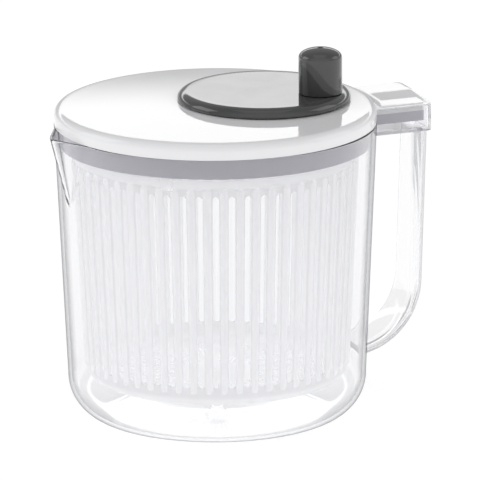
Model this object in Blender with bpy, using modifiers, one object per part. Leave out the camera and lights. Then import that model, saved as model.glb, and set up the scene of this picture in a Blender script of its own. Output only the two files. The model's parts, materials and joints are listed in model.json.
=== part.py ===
"""A salad spinner: a clear jug with a spout and a handle, a slotted basket that turns in it on a
pivot, and a lid whose off-centre crank disc drives the basket through an internal gear and a pinion.

Metres, +Z up. The origin is on the jug's axis, in the plane of its base. +X points to the handle.
"""

from math import acos, atan2, cos, hypot, pi, radians, sin, tan

import bmesh
import bpy
from mathutils import Matrix, Vector

MM = 0.001
GAP = 0.4 * MM  # running and assembly clearance between pieces that touch

# Jug
RIM_Z = 193 * MM
RIM_R = 103.3 * MM
FOOT_R = 95.5 * MM  # wall radius where the base fillet starts
BASE_FILLET = 28 * MM
WALL = 2.3 * MM
RIM_ROUND = 0.7 * MM
SPOUT_R = 114.5 * MM
SPOUT_DEPTH = 49 * MM
SPOUT_HALF_ANGLE = radians(15.4)
PIVOT_R = 4.0 * MM
PIVOT_TOP_Z = 20 * MM  # the post in the middle that the basket turns on

# Handle: an open box under the lid's tab, and a strap that runs down from it to the jug
HANDLE_X = 139 * MM
BOX_WIDTH = 55 * MM
BOX_BOTTOM_Z = RIM_Z - 13.4 * MM
BOX_TOP_Z = RIM_Z + 3.4 * MM
BOX_WALL = 2.2 * MM
BOX_START_X = 90 * MM  # inside the bowl's wall, which cuts the box off
BOX_CORNER = 4 * MM
BOX_INNER_CORNER = 2.5 * MM
STRAP_WIDTH = 37 * MM
STRAP_THICKNESS = 3.6 * MM
STRAP_EDGE = 1.2 * MM
BEND_R = 48 * MM
BEND_X = 87 * MM
BEND_Z = RIM_Z - 112 * MM

# Lid
LID_TOP_Z = RIM_Z + 11.6 * MM
LID_EDGE_Z = RIM_Z + 11.0 * MM
LID_SHOULDER = 5 * MM
LID_WALL = 2.2 * MM
SKIRT_R = 100.0 * MM
SKIRT_BOTTOM_Z = RIM_Z - 13 * MM
TAB_TOP_Z = RIM_Z + 6.0 * MM
TAB_THICKNESS = 2.0 * MM
TAB_SKIRT_Z = RIM_Z - 6.6 * MM
TAB_SKIRT_INSET = 2.9 * MM
TAB_SKIRT_END_X = HANDLE_X - 4.5 * MM
TAB_SKIRT_WALL = 1.7 * MM
CHANNEL_R = RIM_R - 1.9 * MM  # the channel that takes the jug's rim
CHANNEL_TOP_Z = RIM_Z + 7 * MM
LID_BOSS_R = 2.9 * MM
LID_BOSS_Z = RIM_Z + 5.2 * MM

# Crank and gears
CRANK_X = 33.6 * MM
DISC_R = 55.4 * MM
DISC_FLAT_R = 48.6 * MM
DISC_BOTTOM_Z = RIM_Z + 12.1 * MM
DISC_TOP_Z = RIM_Z + 18 * MM
DISC_DISH = 1.4 * MM
DISC_WALL = 1.8 * MM
GEAR_MODULE = 1.6 * MM
RING_TEETH = 56
PINION_TEETH = 14
PRESSURE_ANGLE = radians(20)
BACKLASH = 0.5 * MM
RING_R = 49.6 * MM
WELL_R = 50.6 * MM
GEAR_TOP_Z = RIM_Z + 11.4 * MM
GEAR_WEB_Z = RIM_Z + 9.8 * MM
GEAR_BOTTOM_Z = RIM_Z + 2.2 * MM
GEAR_SCREW_R = 13 * MM
PINION_LOW_Z = RIM_Z + 2.5 * MM
PINION_TOP_Z = RIM_Z + 8.4 * MM
POST_R = 5.0 * MM
SHAFT_R = 4.0 * MM
SCREW_HOLE_R = 1.5 * MM
POST_HOLE_R = 1.9 * MM
DISC_BOSS_R = 3 * MM
DISC_BOSS_TOP_Z = RIM_Z + 15.2 * MM  # in the thickness of the disc

# Gear housing, its bushes and screws
FLANGE_TOP_Z = RIM_Z + 4.8 * MM
FLANGE_BOTTOM_Z = RIM_Z + 3.0 * MM
FLANGE_R = 58.4 * MM
FLANGE_SCREW_R = 55.4 * MM
FLANGE_SCREW_ANGLE = radians(41)
HOUSING_WALL_R = 52.4 * MM
HOUSING_TOP_Z = RIM_Z + 8.3 * MM
HOUSING_FLOOR_Z = RIM_Z + 1.0 * MM
HOUSING_UNDER_Z = RIM_Z - 1.0 * MM
CRANK_BOSS_R = 9.2 * MM
CRANK_BOSS_TOP_Z = RIM_Z + 7.5 * MM
SHAFT_COLLAR_R = 8.6 * MM
SHAFT_COLLAR_Z = RIM_Z - 6 * MM
BUSH_R = 6.2 * MM
BUSH_FLANGE_R = 8.2 * MM

# Knob
KNOB_R = 14 * MM
KNOB_ORBIT = 37.3 * MM
KNOB_ANGLE = radians(-37)
KNOB_BOTTOM_Z = RIM_Z + 18.1 * MM
KNOB_SIDE_TOP_Z = KNOB_BOTTOM_Z + 23 * MM
KNOB_TOP_Z = KNOB_SIDE_TOP_Z + 6.4 * MM
KNOB_HUB_R = 6.2 * MM
KNOB_BOSS_R = 6.8 * MM
KNOB_WASHER_R = 7 * MM
PIN_R = 3 * MM
PIN_HEAD_R = 4.2 * MM
PIN_HEAD_Z = RIM_Z + 13.4 * MM
PIN_TOP_Z = KNOB_BOTTOM_Z + 17 * MM

# Basket
BASKET_RIM_Z = RIM_Z - 15.8 * MM
BASKET_RIM_R = 91.8 * MM
BASKET_TOP_R = 90.6 * MM
BASKET_LOW_R = 83.6 * MM
BASKET_FLOOR_Z = 25.5 * MM
BASKET_FILLET = 11 * MM
BASKET_WALL = 2.2 * MM
BASKET_BAND = 5 * MM  # height of the thicker band round the rim
HUB_R = 11.5 * MM
HUB_BORE_R = 9.0 * MM
HUB_Z = 15 * MM
CUP_R = 8.5 * MM
CUP_Z = 14 * MM
SLOTS = 54
SLOT_WIDTH = 4.4 * MM
SLOT_TOP_Z = RIM_Z - 26.7 * MM
SLOT_BOTTOM_Z = 43.6 * MM
SLOT_ANGLE = radians(-125.2)
FLOOR_SLOTS = 27
FLOOR_SLOT_WIDTH = 3 * MM
FLOOR_SLOT_INNER_R = 28 * MM
FLOOR_SLOT_OUTER_R = 68 * MM

# Drive plate and the lugs that drop into the basket's rim
PLATE_R = 88.2 * MM
PLATE_TOP_Z = RIM_Z - 12.6 * MM
PLATE_THICKNESS = 2 * MM
PLATE_LIP = 2 * MM
PLATE_HUB_TOP_Z = RIM_Z - 8.8 * MM
RIBS = 6
RIB_WIDTH = 1.8 * MM
LUGS = 4
LUG_ANGLE = radians(-131.9)
LUG_WIDTH = 6 * MM
LUG_INNER_R = 84 * MM
LUG_OUTER_R = 91 * MM
LUG_BOTTOM_Z = RIM_Z - 22.5 * MM
NOTCH_WIDTH = LUG_WIDTH + 2 * MM
NOTCH_DEPTH = 7.5 * MM

# Screws
SCREW_SHANK_R = 1.1 * MM
SCREW_HEAD = 1.6 * MM
SCREW_CROSS = 0.35 * MM  # half of the recess's width

# Cutters run past the piece that they cut
CUT_LOW_Z = 190 * MM
CUT_HIGH_Z = 210 * MM
CUT_ABOVE_Z = 300 * MM
CUT_OUTER_R = 110 * MM
OVERCUT = 10 * MM

STEPS = 48  # facets round a full-size turned piece

PARTS = "salad_spinner"
CUTTERS = "cutters"


# Scene, materials and modelling helpers


def clear_scene():
    for obj in list(bpy.data.objects):
        bpy.data.objects.remove(obj)
    for name in (PARTS, CUTTERS):
        collection = bpy.data.collections.new(name)
        bpy.context.scene.collection.children.link(collection)
    bpy.data.collections[CUTTERS].hide_render = True


def material(name, colour, roughness, metallic=0.0, alpha=1.0, transmission=0.0):
    made = bpy.data.materials.new(name)
    made.use_nodes = True
    shader = made.node_tree.nodes["Principled BSDF"]
    shader.inputs["Base Color"].default_value = (*colour, 1.0)
    shader.inputs["Roughness"].default_value = roughness
    shader.inputs["Metallic"].default_value = metallic
    shader.inputs["Alpha"].default_value = alpha
    shader.inputs["Transmission Weight"].default_value = transmission
    return made


def link(name, mesh, surface=None, parent=None):
    """A new object from a mesh: a part if it has a surface, or else a cutter."""
    obj = bpy.data.objects.new(name, mesh)
    if surface is None:
        bpy.data.collections[CUTTERS].objects.link(obj)
        obj.hide_render = True
        obj.display_type = "WIRE"
        return obj
    bpy.data.collections[PARTS].objects.link(obj)
    obj.data.materials.append(surface)
    if parent is not None:
        obj.parent = parent
        obj.matrix_parent_inverse = parent.matrix_world.inverted()
    return obj


def pivot(name, x, y, parent=None):
    """An empty on a joint's upright axis, which carries what turns about it."""
    empty = bpy.data.objects.new(name, None)
    bpy.data.collections[PARTS].objects.link(empty)
    empty.location = (x, y, 0)
    empty.matrix_world = Matrix.Translation((x, y, 0))
    if parent is not None:
        empty.parent = parent
        empty.matrix_parent_inverse = parent.matrix_world.inverted()
    return empty


def turned(name, profile, x=0.0, y=0.0, surface=None, parent=None, steps=STEPS, ring=False):
    """Turns a profile of (radius, height) points about an upright axis through (x, y).

    The profile runs down its outer side and back up its inner side. A ring's profile is closed;
    any other starts and ends on the axis.
    """
    mesh = bpy.data.meshes.new(name)
    count = len(profile)
    edges = [(i, i + 1) for i in range(count - 1)]
    if ring:
        edges.append((count - 1, 0))
    mesh.from_pydata([(r, 0, z) for r, z in profile], edges, [])
    raw = bpy.data.objects.new(name + "_profile", mesh)
    bpy.context.scene.collection.objects.link(raw)
    screw = raw.modifiers.new("Turn", "SCREW")
    screw.axis = "Z"
    screw.angle = 2 * pi
    screw.steps = steps
    screw.render_steps = steps
    screw.use_merge_vertices = True
    screw.merge_threshold = 0.00001
    screw.use_smooth_shade = True
    solid = bpy.data.meshes.new_from_object(raw.evaluated_get(bpy.context.evaluated_depsgraph_get()))
    bpy.data.objects.remove(raw)
    solid.name = name
    solid.shade_smooth()
    solid.set_sharp_from_angle(angle=radians(30))
    obj = link(name, solid, surface)
    place(obj, x, y, parent)
    return obj


def place(obj, x, y, parent):
    obj.location = (x, y, 0)
    if parent is not None:
        obj.parent = parent
        obj.matrix_parent_inverse = parent.matrix_world.inverted()


def prism(name, outline, start, end, axis="Z", surface=None, parent=None):
    """A flat outline of (a, b) points, counter-clockwise, carried from start to end along an axis.

    Along Z the points are (x, y). Along Y they are (x, z), seen from -Y.
    """
    bm = bmesh.new()
    if axis == "Z":
        corners = [bm.verts.new((a, b, start)) for a, b in outline]
    else:
        corners = [bm.verts.new((a, start, b)) for a, b in outline]
    face = bm.faces.new(corners)
    grown = bmesh.ops.extrude_face_region(bm, geom=[face])
    moved = [v for v in grown["geom"] if isinstance(v, bmesh.types.BMVert)]
    step = (0, 0, end - start) if axis == "Z" else (0, end - start, 0)
    bmesh.ops.translate(bm, verts=moved, vec=step)
    bmesh.ops.recalc_face_normals(bm, faces=bm.faces)
    mesh = bpy.data.meshes.new(name)
    bm.to_mesh(mesh)
    bm.free()
    obj = link(name, mesh, surface)
    if parent is not None:
        place(obj, 0, 0, parent)
        obj.location = (0, 0, 0)
    return obj


def bevel(obj, width, segments=2, angle=40):
    modifier = obj.modifiers.new("Bevel", "BEVEL")
    modifier.width = width
    modifier.segments = segments
    modifier.limit_method = "ANGLE"
    modifier.angle_limit = radians(angle)


def boolean(obj, other, operation):
    modifier = obj.modifiers.new(other.name, "BOOLEAN")
    modifier.object = other
    modifier.operation = operation
    modifier.solver = "EXACT"


def cut(obj, *others):
    for other in others:
        boolean(obj, other, "DIFFERENCE")


def join(obj, *others):
    for other in others:
        boolean(obj, other, "UNION")


def arc(x, z, radius, start, end, count):
    """Points (x, z) on an arc, from one angle in degrees to another."""
    turns = [radians(start + (end - start) * i / count) for i in range(count + 1)]
    return [(x + radius * cos(a), z + radius * sin(a)) for a in turns]


# Jug


def jug_radius(z):
    """Outer radius of the jug's straight wall."""
    share = (z - BASE_FILLET) / (RIM_Z - BASE_FILLET)
    return FOOT_R + (RIM_R - FOOT_R) * share


def spout_reach(angle, z):
    """How far the spout stands out of the round wall: two flat cheeks that meet in a ridge."""
    share = 1 - (RIM_Z - z) / SPOUT_DEPTH
    off = abs(angle)
    half = SPOUT_HALF_ANGLE * share
    if share <= 0 or off >= half:
        return 0.0
    wall = jug_radius(z)
    tip = wall + (SPOUT_R - RIM_R) * share
    slope = (tip - wall * cos(half)) / (wall * sin(half))
    return tip / (cos(off) + sin(off) * slope) - wall


def jug_profile():
    """The bowl in section: from the pivot post up the inside, over the rim, and down the outside."""
    heights = [RIM_Z - SPOUT_DEPTH * share for share in (0, 0.5, 1)]
    lip = RIM_ROUND
    post = [(0, PIVOT_TOP_Z), (PIVOT_R - 1 * MM, PIVOT_TOP_Z - 0.5 * MM)]
    post += [(PIVOT_R, PIVOT_TOP_Z - 2 * MM), (PIVOT_R + 2 * MM, WALL)]
    inside = arc(FOOT_R - BASE_FILLET, BASE_FILLET, BASE_FILLET - WALL, -90, 2, 4)
    inside += [(jug_radius(z) - WALL, z) for z in reversed(heights[1:])]
    rim = [(RIM_R - WALL, RIM_Z - lip), (RIM_R - WALL + lip, RIM_Z)]
    rim += [(RIM_R - lip, RIM_Z), (RIM_R, RIM_Z - lip)]
    outside = [(jug_radius(z), z) for z in heights[1:]]
    outside += arc(FOOT_R - BASE_FILLET, BASE_FILLET, BASE_FILLET, 2, -90, 5)
    return post + inside + rim + outside + [(0, 0)]


def pull_spout(obj):
    """Draws the wall out at -X into the pouring lip."""
    for vertex in obj.data.vertices:
        x, y, z = vertex.co
        radius = hypot(x, y)
        if radius < FOOT_R / 2:
            continue
        reach = spout_reach(atan2(y, -x), z)
        vertex.co.x *= (radius + reach) / radius
        vertex.co.y *= (radius + reach) / radius


def strap_outline():
    """The handle strap from the side: down, round the bend, and into the jug's wall."""
    inner_r = BEND_R - STRAP_THICKNESS
    outer_bend = arc(BEND_X, BEND_Z, BEND_R, 0, -84, 9)
    inner_bend = arc(BEND_X, BEND_Z, inner_r, -84, 0, 9)
    top = BOX_BOTTOM_Z + 1 * MM
    start, end = (HANDLE_X - STRAP_THICKNESS, top), (HANDLE_X, top)
    return [start, *reversed(inner_bend), *reversed(outer_bend), end]


def rounded_rectangle(low, high, radius, count=3):
    """Corner points of a rectangle in plan with rounded corners."""
    (x0, y0), (x1, y1) = low, high
    corners = ((x1 - radius, y0 + radius, -90), (x1 - radius, y1 - radius, 0))
    corners += ((x0 + radius, y1 - radius, 90), (x0 + radius, y0 + radius, 180))
    points = []
    for x, y, start in corners:
        points += arc(x, y, radius, start, start + 90, count)
    return points


def handle_tray():
    """The open box at the top of the handle, its back left to the bowl's wall."""
    half = BOX_WIDTH / 2
    inner = half - BOX_WALL
    outline = rounded_rectangle((BOX_START_X, -half), (HANDLE_X, half), BOX_CORNER)
    tray = prism("handle_box", outline, BOX_BOTTOM_Z, BOX_TOP_Z)
    room = rounded_rectangle(
        (BOX_START_X - OVERCUT, -inner), (HANDLE_X - BOX_WALL, inner), BOX_INNER_CORNER
    )
    hollow = prism("handle_box_hollow", room, BOX_BOTTOM_Z + BOX_WALL, BOX_TOP_Z + OVERCUT)
    mid_r = RIM_R - WALL / 2
    back = turned("handle_box_back", [(0, RIM_Z), (mid_r, RIM_Z), (mid_r, 0), (0, 0)])
    cut(hollow, back)
    cut(tray, hollow)
    return tray


def jug(surface):
    bowl = turned("jug", jug_profile(), surface=surface)
    pull_spout(bowl)
    tray = handle_tray()
    strap = prism("handle_strap", strap_outline(), -STRAP_WIDTH / 2, STRAP_WIDTH / 2, axis="Y")
    bevel(strap, STRAP_EDGE)
    mid = WALL / 2
    core_profile = [(0, RIM_Z), (RIM_R - mid, RIM_Z), (FOOT_R - mid, BASE_FILLET), (0, BASE_FILLET)]
    core = turned("bowl_core", core_profile)
    edge_r = RIM_R + GAP
    edge_z = RIM_Z - 2 * GAP
    band_room = [(0, CUT_ABOVE_Z), (edge_r, CUT_ABOVE_Z), (edge_r, edge_z), (0, edge_z)]
    clearance = turned("lid_clearance", band_room)
    join(tray, strap)
    cut(tray, core, clearance)
    join(bowl, tray)


# Basket and its pivot cup


def basket_outside(z):
    """Outer radius of the basket's tapered wall."""
    low = BASKET_FLOOR_Z + BASKET_FILLET
    share = (z - low) / (BASKET_RIM_Z - low)
    return BASKET_LOW_R + (BASKET_TOP_R - BASKET_LOW_R) * share


def basket_profile():
    """The basket in section: up the inside, over the rim band, down the outside, and round the hub."""
    low = BASKET_FLOOR_Z + BASKET_FILLET
    band = BASKET_RIM_Z - BASKET_BAND
    fillet_x = BASKET_LOW_R - BASKET_FILLET
    inside = [(0, BASKET_FLOOR_Z + BASKET_WALL)]
    inside += arc(fillet_x, low, BASKET_FILLET - BASKET_WALL, -90, 0, 2)
    inside += [(BASKET_TOP_R - BASKET_WALL, BASKET_RIM_Z)]
    outside = [(BASKET_RIM_R, BASKET_RIM_Z), (BASKET_RIM_R, band), (basket_outside(band), band - 1 * MM)]
    outside += arc(fillet_x, low, BASKET_FILLET, 0, -90, 2)
    hub = [(HUB_R, BASKET_FLOOR_Z), (HUB_R - 0.5 * MM, HUB_Z), (HUB_BORE_R, HUB_Z)]
    hub += [(HUB_BORE_R, BASKET_FLOOR_Z), (0, BASKET_FLOOR_Z)]
    return inside + outside + hub


def radial_cutters(name, count, angle, width, near, far, low, high):
    """Boxes that point outwards from the axis, evenly spaced, to cut with or to join on."""
    bm = bmesh.new()
    for i in range(count):
        made = bmesh.ops.create_cube(bm, size=1)["verts"]
        bmesh.ops.scale(bm, vec=(far - near, width, high - low), verts=made)
        bmesh.ops.translate(bm, vec=((near + far) / 2, 0, (low + high) / 2), verts=made)
        turn = Matrix.Rotation(angle + 2 * pi * i / count, 3, "Z")
        bmesh.ops.rotate(bm, cent=(0, 0, 0), matrix=turn, verts=made)
    mesh = bpy.data.meshes.new(name)
    bm.to_mesh(mesh)
    bm.free()
    return link(name, mesh)


def basket(surface, cup_surface, lift, spin):
    pivot_cup = [
        (0, BASKET_FLOOR_Z - GAP),
        (CUP_R, BASKET_FLOOR_Z - GAP),
        (CUP_R, CUP_Z),
        (PIVOT_R + 0.9 * MM, CUP_Z),
        (PIVOT_R + 0.6 * MM, PIVOT_TOP_Z + GAP),
        (0, PIVOT_TOP_Z + GAP),
    ]
    turned("pivot_cup", pivot_cup, surface=cup_surface, parent=lift, steps=20)
    body = turned("basket", basket_profile(), surface=surface, parent=spin, steps=SLOTS)
    body.data.transform(Matrix.Rotation(SLOT_ANGLE + pi / SLOTS, 4, "Z"))
    wall_slots = radial_cutters(
        "wall_slots",
        SLOTS,
        SLOT_ANGLE,
        SLOT_WIDTH,
        FLOOR_SLOT_OUTER_R + 2 * MM,
        CUT_OUTER_R,
        SLOT_BOTTOM_Z,
        SLOT_TOP_Z,
    )
    floor_slots = radial_cutters(
        "floor_slots",
        FLOOR_SLOTS,
        SLOT_ANGLE,
        FLOOR_SLOT_WIDTH,
        FLOOR_SLOT_INNER_R,
        FLOOR_SLOT_OUTER_R,
        BASKET_FLOOR_Z - 5.5 * MM,
        BASKET_FLOOR_Z + OVERCUT,
    )
    notches = radial_cutters(
        "rim_notches",
        LUGS,
        LUG_ANGLE,
        NOTCH_WIDTH,
        LUG_INNER_R - 4 * MM,
        CUT_OUTER_R,
        BASKET_RIM_Z - NOTCH_DEPTH,
        BASKET_RIM_Z + OVERCUT,
    )
    cut(body, wall_slots, floor_slots, notches)


# Lid


def lid_profile():
    """The lid in section: over the top, down the band, up its channel, and down and up the skirt."""
    edge_r = RIM_R - LID_SHOULDER
    bottom = RIM_Z + GAP
    outside = [(0, LID_TOP_Z), (60 * MM, LID_TOP_Z - 0.2 * MM)]
    outside += arc(edge_r, LID_EDGE_Z - LID_SHOULDER, LID_SHOULDER, 90, 0, 3)
    outside += [(RIM_R, bottom), (CHANNEL_R, bottom)]
    channel = [(CHANNEL_R, CHANNEL_TOP_Z), (SKIRT_R, CHANNEL_TOP_Z)]
    skirt = [(SKIRT_R - 0.5 * MM, SKIRT_BOTTOM_Z), (SKIRT_R - 2.2 * MM, SKIRT_BOTTOM_Z)]
    inside = [(SKIRT_R - 1.8 * MM, LID_EDGE_Z - 3.4 * MM), (SKIRT_R - 3.6 * MM, LID_EDGE_Z - LID_WALL)]
    inside += [(0, LID_TOP_Z - LID_WALL)]
    return outside + channel + skirt + inside


def lid_tab():
    """The plate over the handle box and the skirt that fits down into it."""
    half = BOX_WIDTH / 2
    outline = rounded_rectangle((BOX_START_X, -half), (HANDLE_X, half), BOX_CORNER)
    plate = prism("tab_plate", outline, TAB_TOP_Z - TAB_THICKNESS, TAB_TOP_Z)
    outer = half - TAB_SKIRT_INSET
    inner = outer - TAB_SKIRT_WALL
    end = TAB_SKIRT_END_X
    outline = rounded_rectangle((BOX_START_X - OVERCUT, -outer), (end, outer), BOX_INNER_CORNER)
    ring = prism("tab_skirt", outline, TAB_SKIRT_Z, TAB_TOP_Z - TAB_THICKNESS / 2)
    room = rounded_rectangle(
        (BOX_START_X - 2 * OVERCUT, -inner), (end - TAB_SKIRT_WALL, inner), BOX_INNER_CORNER - 1 * MM
    )
    hollow = prism("tab_skirt_hollow", room, TAB_SKIRT_Z - OVERCUT, TAB_TOP_Z - TAB_THICKNESS)
    room_r = RIM_R + 0.5 * MM
    room_z = RIM_Z - 30 * MM
    jug_room = turned("jug_room", [(0, RIM_Z), (room_r, RIM_Z), (room_r, room_z), (0, room_z)])
    core_r = RIM_R - 1 * MM
    core_z = RIM_Z - 1 * MM
    core = [(0, CUT_ABOVE_Z), (core_r, CUT_ABOVE_Z), (core_r, core_z), (0, core_z)]
    cut(ring, hollow, jug_room)
    join(plate, ring)
    cut(plate, turned("lid_core", core))
    return plate


def lid_shell(surface, parent):
    shell = turned("lid_shell", lid_profile(), surface=surface, parent=parent)
    room = [(0, CUT_ABOVE_Z), (WELL_R, CUT_ABOVE_Z), (WELL_R, CUT_LOW_Z), (0, CUT_LOW_Z)]
    well = turned("gear_well", room, x=CRANK_X)
    join(shell, lid_tab())
    cut(shell, well)
    return shell


def cylinder(name, radius, low, high, x=0.0, y=0.0, steps=24):
    """An upright cylinder, used to join a boss on or to cut a hole."""
    bm = bmesh.new()
    bmesh.ops.create_cone(
        bm, cap_ends=True, segments=steps, radius1=radius, radius2=radius, depth=high - low
    )
    bmesh.ops.translate(bm, vec=(0, 0, (low + high) / 2), verts=bm.verts)
    mesh = bpy.data.meshes.new(name)
    bm.to_mesh(mesh)
    bm.free()
    obj = link(name, mesh)
    obj.location = (x, y, 0)
    return obj


def around(radius, count, start, x=CRANK_X):
    """Positions on a circle about the crank's axis."""
    turns = [start + 2 * pi * i / count for i in range(count)]
    return [(x + radius * cos(a), radius * sin(a)) for a in turns]


def cross(half_width, reach):
    """Outline of a driver's cross, centred on the origin."""
    arm = [(reach, -half_width), (reach, half_width), (half_width, half_width)]
    quarter_turns = [Matrix.Rotation(pi / 2 * i, 2) for i in range(4)]
    return [tuple(turn @ Vector(point)) for turn in quarter_turns for point in arm]


def screw(name, x, y, seat_z, length, head_r, surface, parent, shank_r=SCREW_SHANK_R, head=SCREW_HEAD):
    """A pan-head screw driven upwards, its head under seat_z, with a cross recess."""
    low = seat_z - head
    profile = [
        (0, seat_z + length),
        (shank_r * 0.5, seat_z + length),
        (shank_r, seat_z + length - 1 * MM),
        (shank_r, seat_z),
        (head_r, seat_z),
        (head_r, low + head * 0.4),
        (head_r * 0.7, low),
        (0, low),
    ]
    obj = turned(name, profile, x, y, surface, parent, steps=10)
    recess = prism(name + "_recess", cross(SCREW_CROSS, head_r * 0.55), low - 1 * MM, low + head / 2)
    recess.location = (x, y, 0)
    cut(obj, recess)
    return obj


def bush(name, x, top, flange_z, bottom, bore_r, surface, parent):
    """A flanged bush that sits in a bore of the housing."""
    profile = [
        (BUSH_FLANGE_R, top),
        (BUSH_FLANGE_R, flange_z),
        (BUSH_R, flange_z),
        (BUSH_R, bottom),
        (bore_r, bottom),
        (bore_r, top),
    ]
    turned(name, profile, x, 0, surface, parent, steps=20, ring=True)


def gear_housing(surface, bush_surface, steel, shell, lid):
    """The dish that closes the gear well from below, with its bushes and the screws that hold it."""
    hole = BUSH_R + GAP
    profile = [
        (HOUSING_WALL_R, HOUSING_TOP_Z),
        (HOUSING_WALL_R, FLANGE_TOP_Z),
        (FLANGE_R, FLANGE_TOP_Z),
        (FLANGE_R, FLANGE_BOTTOM_Z),
        (HOUSING_WALL_R, FLANGE_BOTTOM_Z),
        (HOUSING_WALL_R, HOUSING_UNDER_Z),
        (hole, HOUSING_UNDER_Z),
        (hole, CRANK_BOSS_TOP_Z),
        (CRANK_BOSS_R, CRANK_BOSS_TOP_Z),
        (CRANK_BOSS_R, HOUSING_FLOOR_Z),
        (WELL_R, HOUSING_FLOOR_Z),
        (WELL_R, HOUSING_TOP_Z),
    ]
    dish = turned("gear_housing", profile, CRANK_X, 0, surface, lid, steps=40, ring=True)
    collar = cylinder("shaft_collar", SHAFT_COLLAR_R, SHAFT_COLLAR_Z, HOUSING_FLOOR_Z - 0.5 * MM)
    bore = cylinder("shaft_bore", hole, SHAFT_COLLAR_Z - 4 * MM, RIM_Z + 5 * MM)
    join(dish, collar)
    cut(dish, bore)
    bush(
        "crank_bush",
        CRANK_X,
        RIM_Z + 8.8 * MM,
        CRANK_BOSS_TOP_Z + GAP,
        HOUSING_UNDER_Z + 0.2 * MM,
        POST_R + GAP,
        bush_surface,
        lid,
    )
    bush(
        "shaft_bush",
        0,
        RIM_Z + 2.1 * MM,
        HOUSING_FLOOR_Z + GAP,
        SHAFT_COLLAR_Z + 0.2 * MM,
        SHAFT_R + GAP,
        bush_surface,
        lid,
    )
    for number, (x, y) in enumerate(around(FLANGE_SCREW_R, 4, FLANGE_SCREW_ANGLE), start=1):
        boss = cylinder(f"lid_boss_{number}", LID_BOSS_R, LID_BOSS_Z, RIM_Z + 10 * MM, x, y, steps=12)
        boss_hole = cylinder(
            f"lid_boss_hole_{number}", SCREW_HOLE_R, CUT_LOW_Z, RIM_Z + 9.4 * MM, x, y, steps=12
        )
        flange_hole = cylinder(f"flange_hole_{number}", SCREW_HOLE_R, CUT_LOW_Z, CUT_HIGH_Z, x, y, steps=12)
        join(shell, boss)
        cut(shell, boss_hole)
        cut(dish, flange_hole)
        screw(f"housing_screw_{number}", x, y, FLANGE_BOTTOM_Z - GAP, 5.6 * MM, 2.4 * MM, steel, lid)


# Gears


def involute(angle):
    return tan(angle) - angle


def gear_outline(teeth, addendum, dedendum, thickness, x=0.0, flank=2):
    """Outline of a gear with involute flanks; thickness is a tooth's width at the pitch circle."""
    pitch_r = GEAR_MODULE * teeth / 2
    base_r = pitch_r * cos(PRESSURE_ANGLE)
    root_r = pitch_r - dedendum
    tip_r = pitch_r + addendum
    low_r = max(base_r, root_r)
    radii = [low_r + (tip_r - low_r) * i / flank for i in range(flank + 1)]
    if root_r < base_r:
        radii.insert(0, root_r)
    at_pitch = thickness / (2 * pitch_r) + involute(PRESSURE_ANGLE)
    flank_points = [(r, at_pitch - involute(acos(min(1.0, base_r / r)))) for r in radii]
    points = []
    for i in range(teeth):
        centre = 2 * pi * i / teeth
        side = [(r, centre - half) for r, half in flank_points]
        side += [(r, centre + half) for r, half in reversed(flank_points)]
        points += [(x + r * cos(a), r * sin(a)) for r, a in side]
    return points


def ring_gear(surface, steel, disc, crank):
    """The internal gear: a web on the crank's post with the toothed ring hanging from it."""
    hole = POST_R + GAP
    profile = [(RING_R, GEAR_TOP_Z), (RING_R, GEAR_BOTTOM_Z), (hole, GEAR_BOTTOM_Z), (hole, GEAR_TOP_Z)]
    gear = turned("ring_gear", profile, CRANK_X, 0, surface, crank, steps=RING_TEETH, ring=True)
    width = pi * GEAR_MODULE / 2 + BACKLASH / 2
    space = gear_outline(RING_TEETH, 1.25 * GEAR_MODULE, 0.75 * GEAR_MODULE, width, CRANK_X, flank=1)
    tooth_spaces = prism("tooth_spaces", space, GEAR_BOTTOM_Z - 1 * MM, GEAR_WEB_Z)
    cut(gear, tooth_spaces)
    for number, (x, y) in enumerate(around(GEAR_SCREW_R, 3, pi / 3), start=1):
        web_hole = cylinder(f"web_hole_{number}", SCREW_HOLE_R, CUT_LOW_Z, CUT_HIGH_Z, x, y, steps=12)
        boss = cylinder(
            f"disc_boss_{number}", DISC_BOSS_R, GEAR_TOP_Z + GAP, DISC_BOSS_TOP_Z, x, y, steps=12
        )
        boss_hole = cylinder(
            f"disc_boss_hole_{number}", SCREW_HOLE_R, CUT_LOW_Z, DISC_BOSS_TOP_Z, x, y, steps=12
        )
        cut(gear, web_hole)
        join(disc, boss)
        cut(disc, boss_hole)
        screw(f"gear_screw_{number}", x, y, GEAR_WEB_Z - GAP, 5 * MM, 2.6 * MM, steel, crank)


def pinion(surface, steel, drive):
    width = pi * GEAR_MODULE / 2 - BACKLASH / 2
    outline = gear_outline(PINION_TEETH, 1.0 * GEAR_MODULE, 1.25 * GEAR_MODULE, width)
    gear = prism("pinion", outline, PINION_LOW_Z, PINION_TOP_Z, surface=surface, parent=drive)
    cut(gear, cylinder("pinion_bore", SHAFT_R + GAP, CUT_LOW_Z, CUT_HIGH_Z))
    seat_z = PINION_TOP_Z + GAP
    cap = [
        (0, seat_z + 0.6 * MM),
        (5.0 * MM, seat_z + 0.6 * MM),
        (5.6 * MM, seat_z),
        (SCREW_SHANK_R, seat_z),
        (SCREW_SHANK_R, PINION_LOW_Z + 1 * MM),
        (0, PINION_LOW_Z + 0.5 * MM),
    ]
    turned("pinion_screw", cap, surface=steel, parent=drive, steps=16)


# Crank disc, its post and knob


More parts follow.
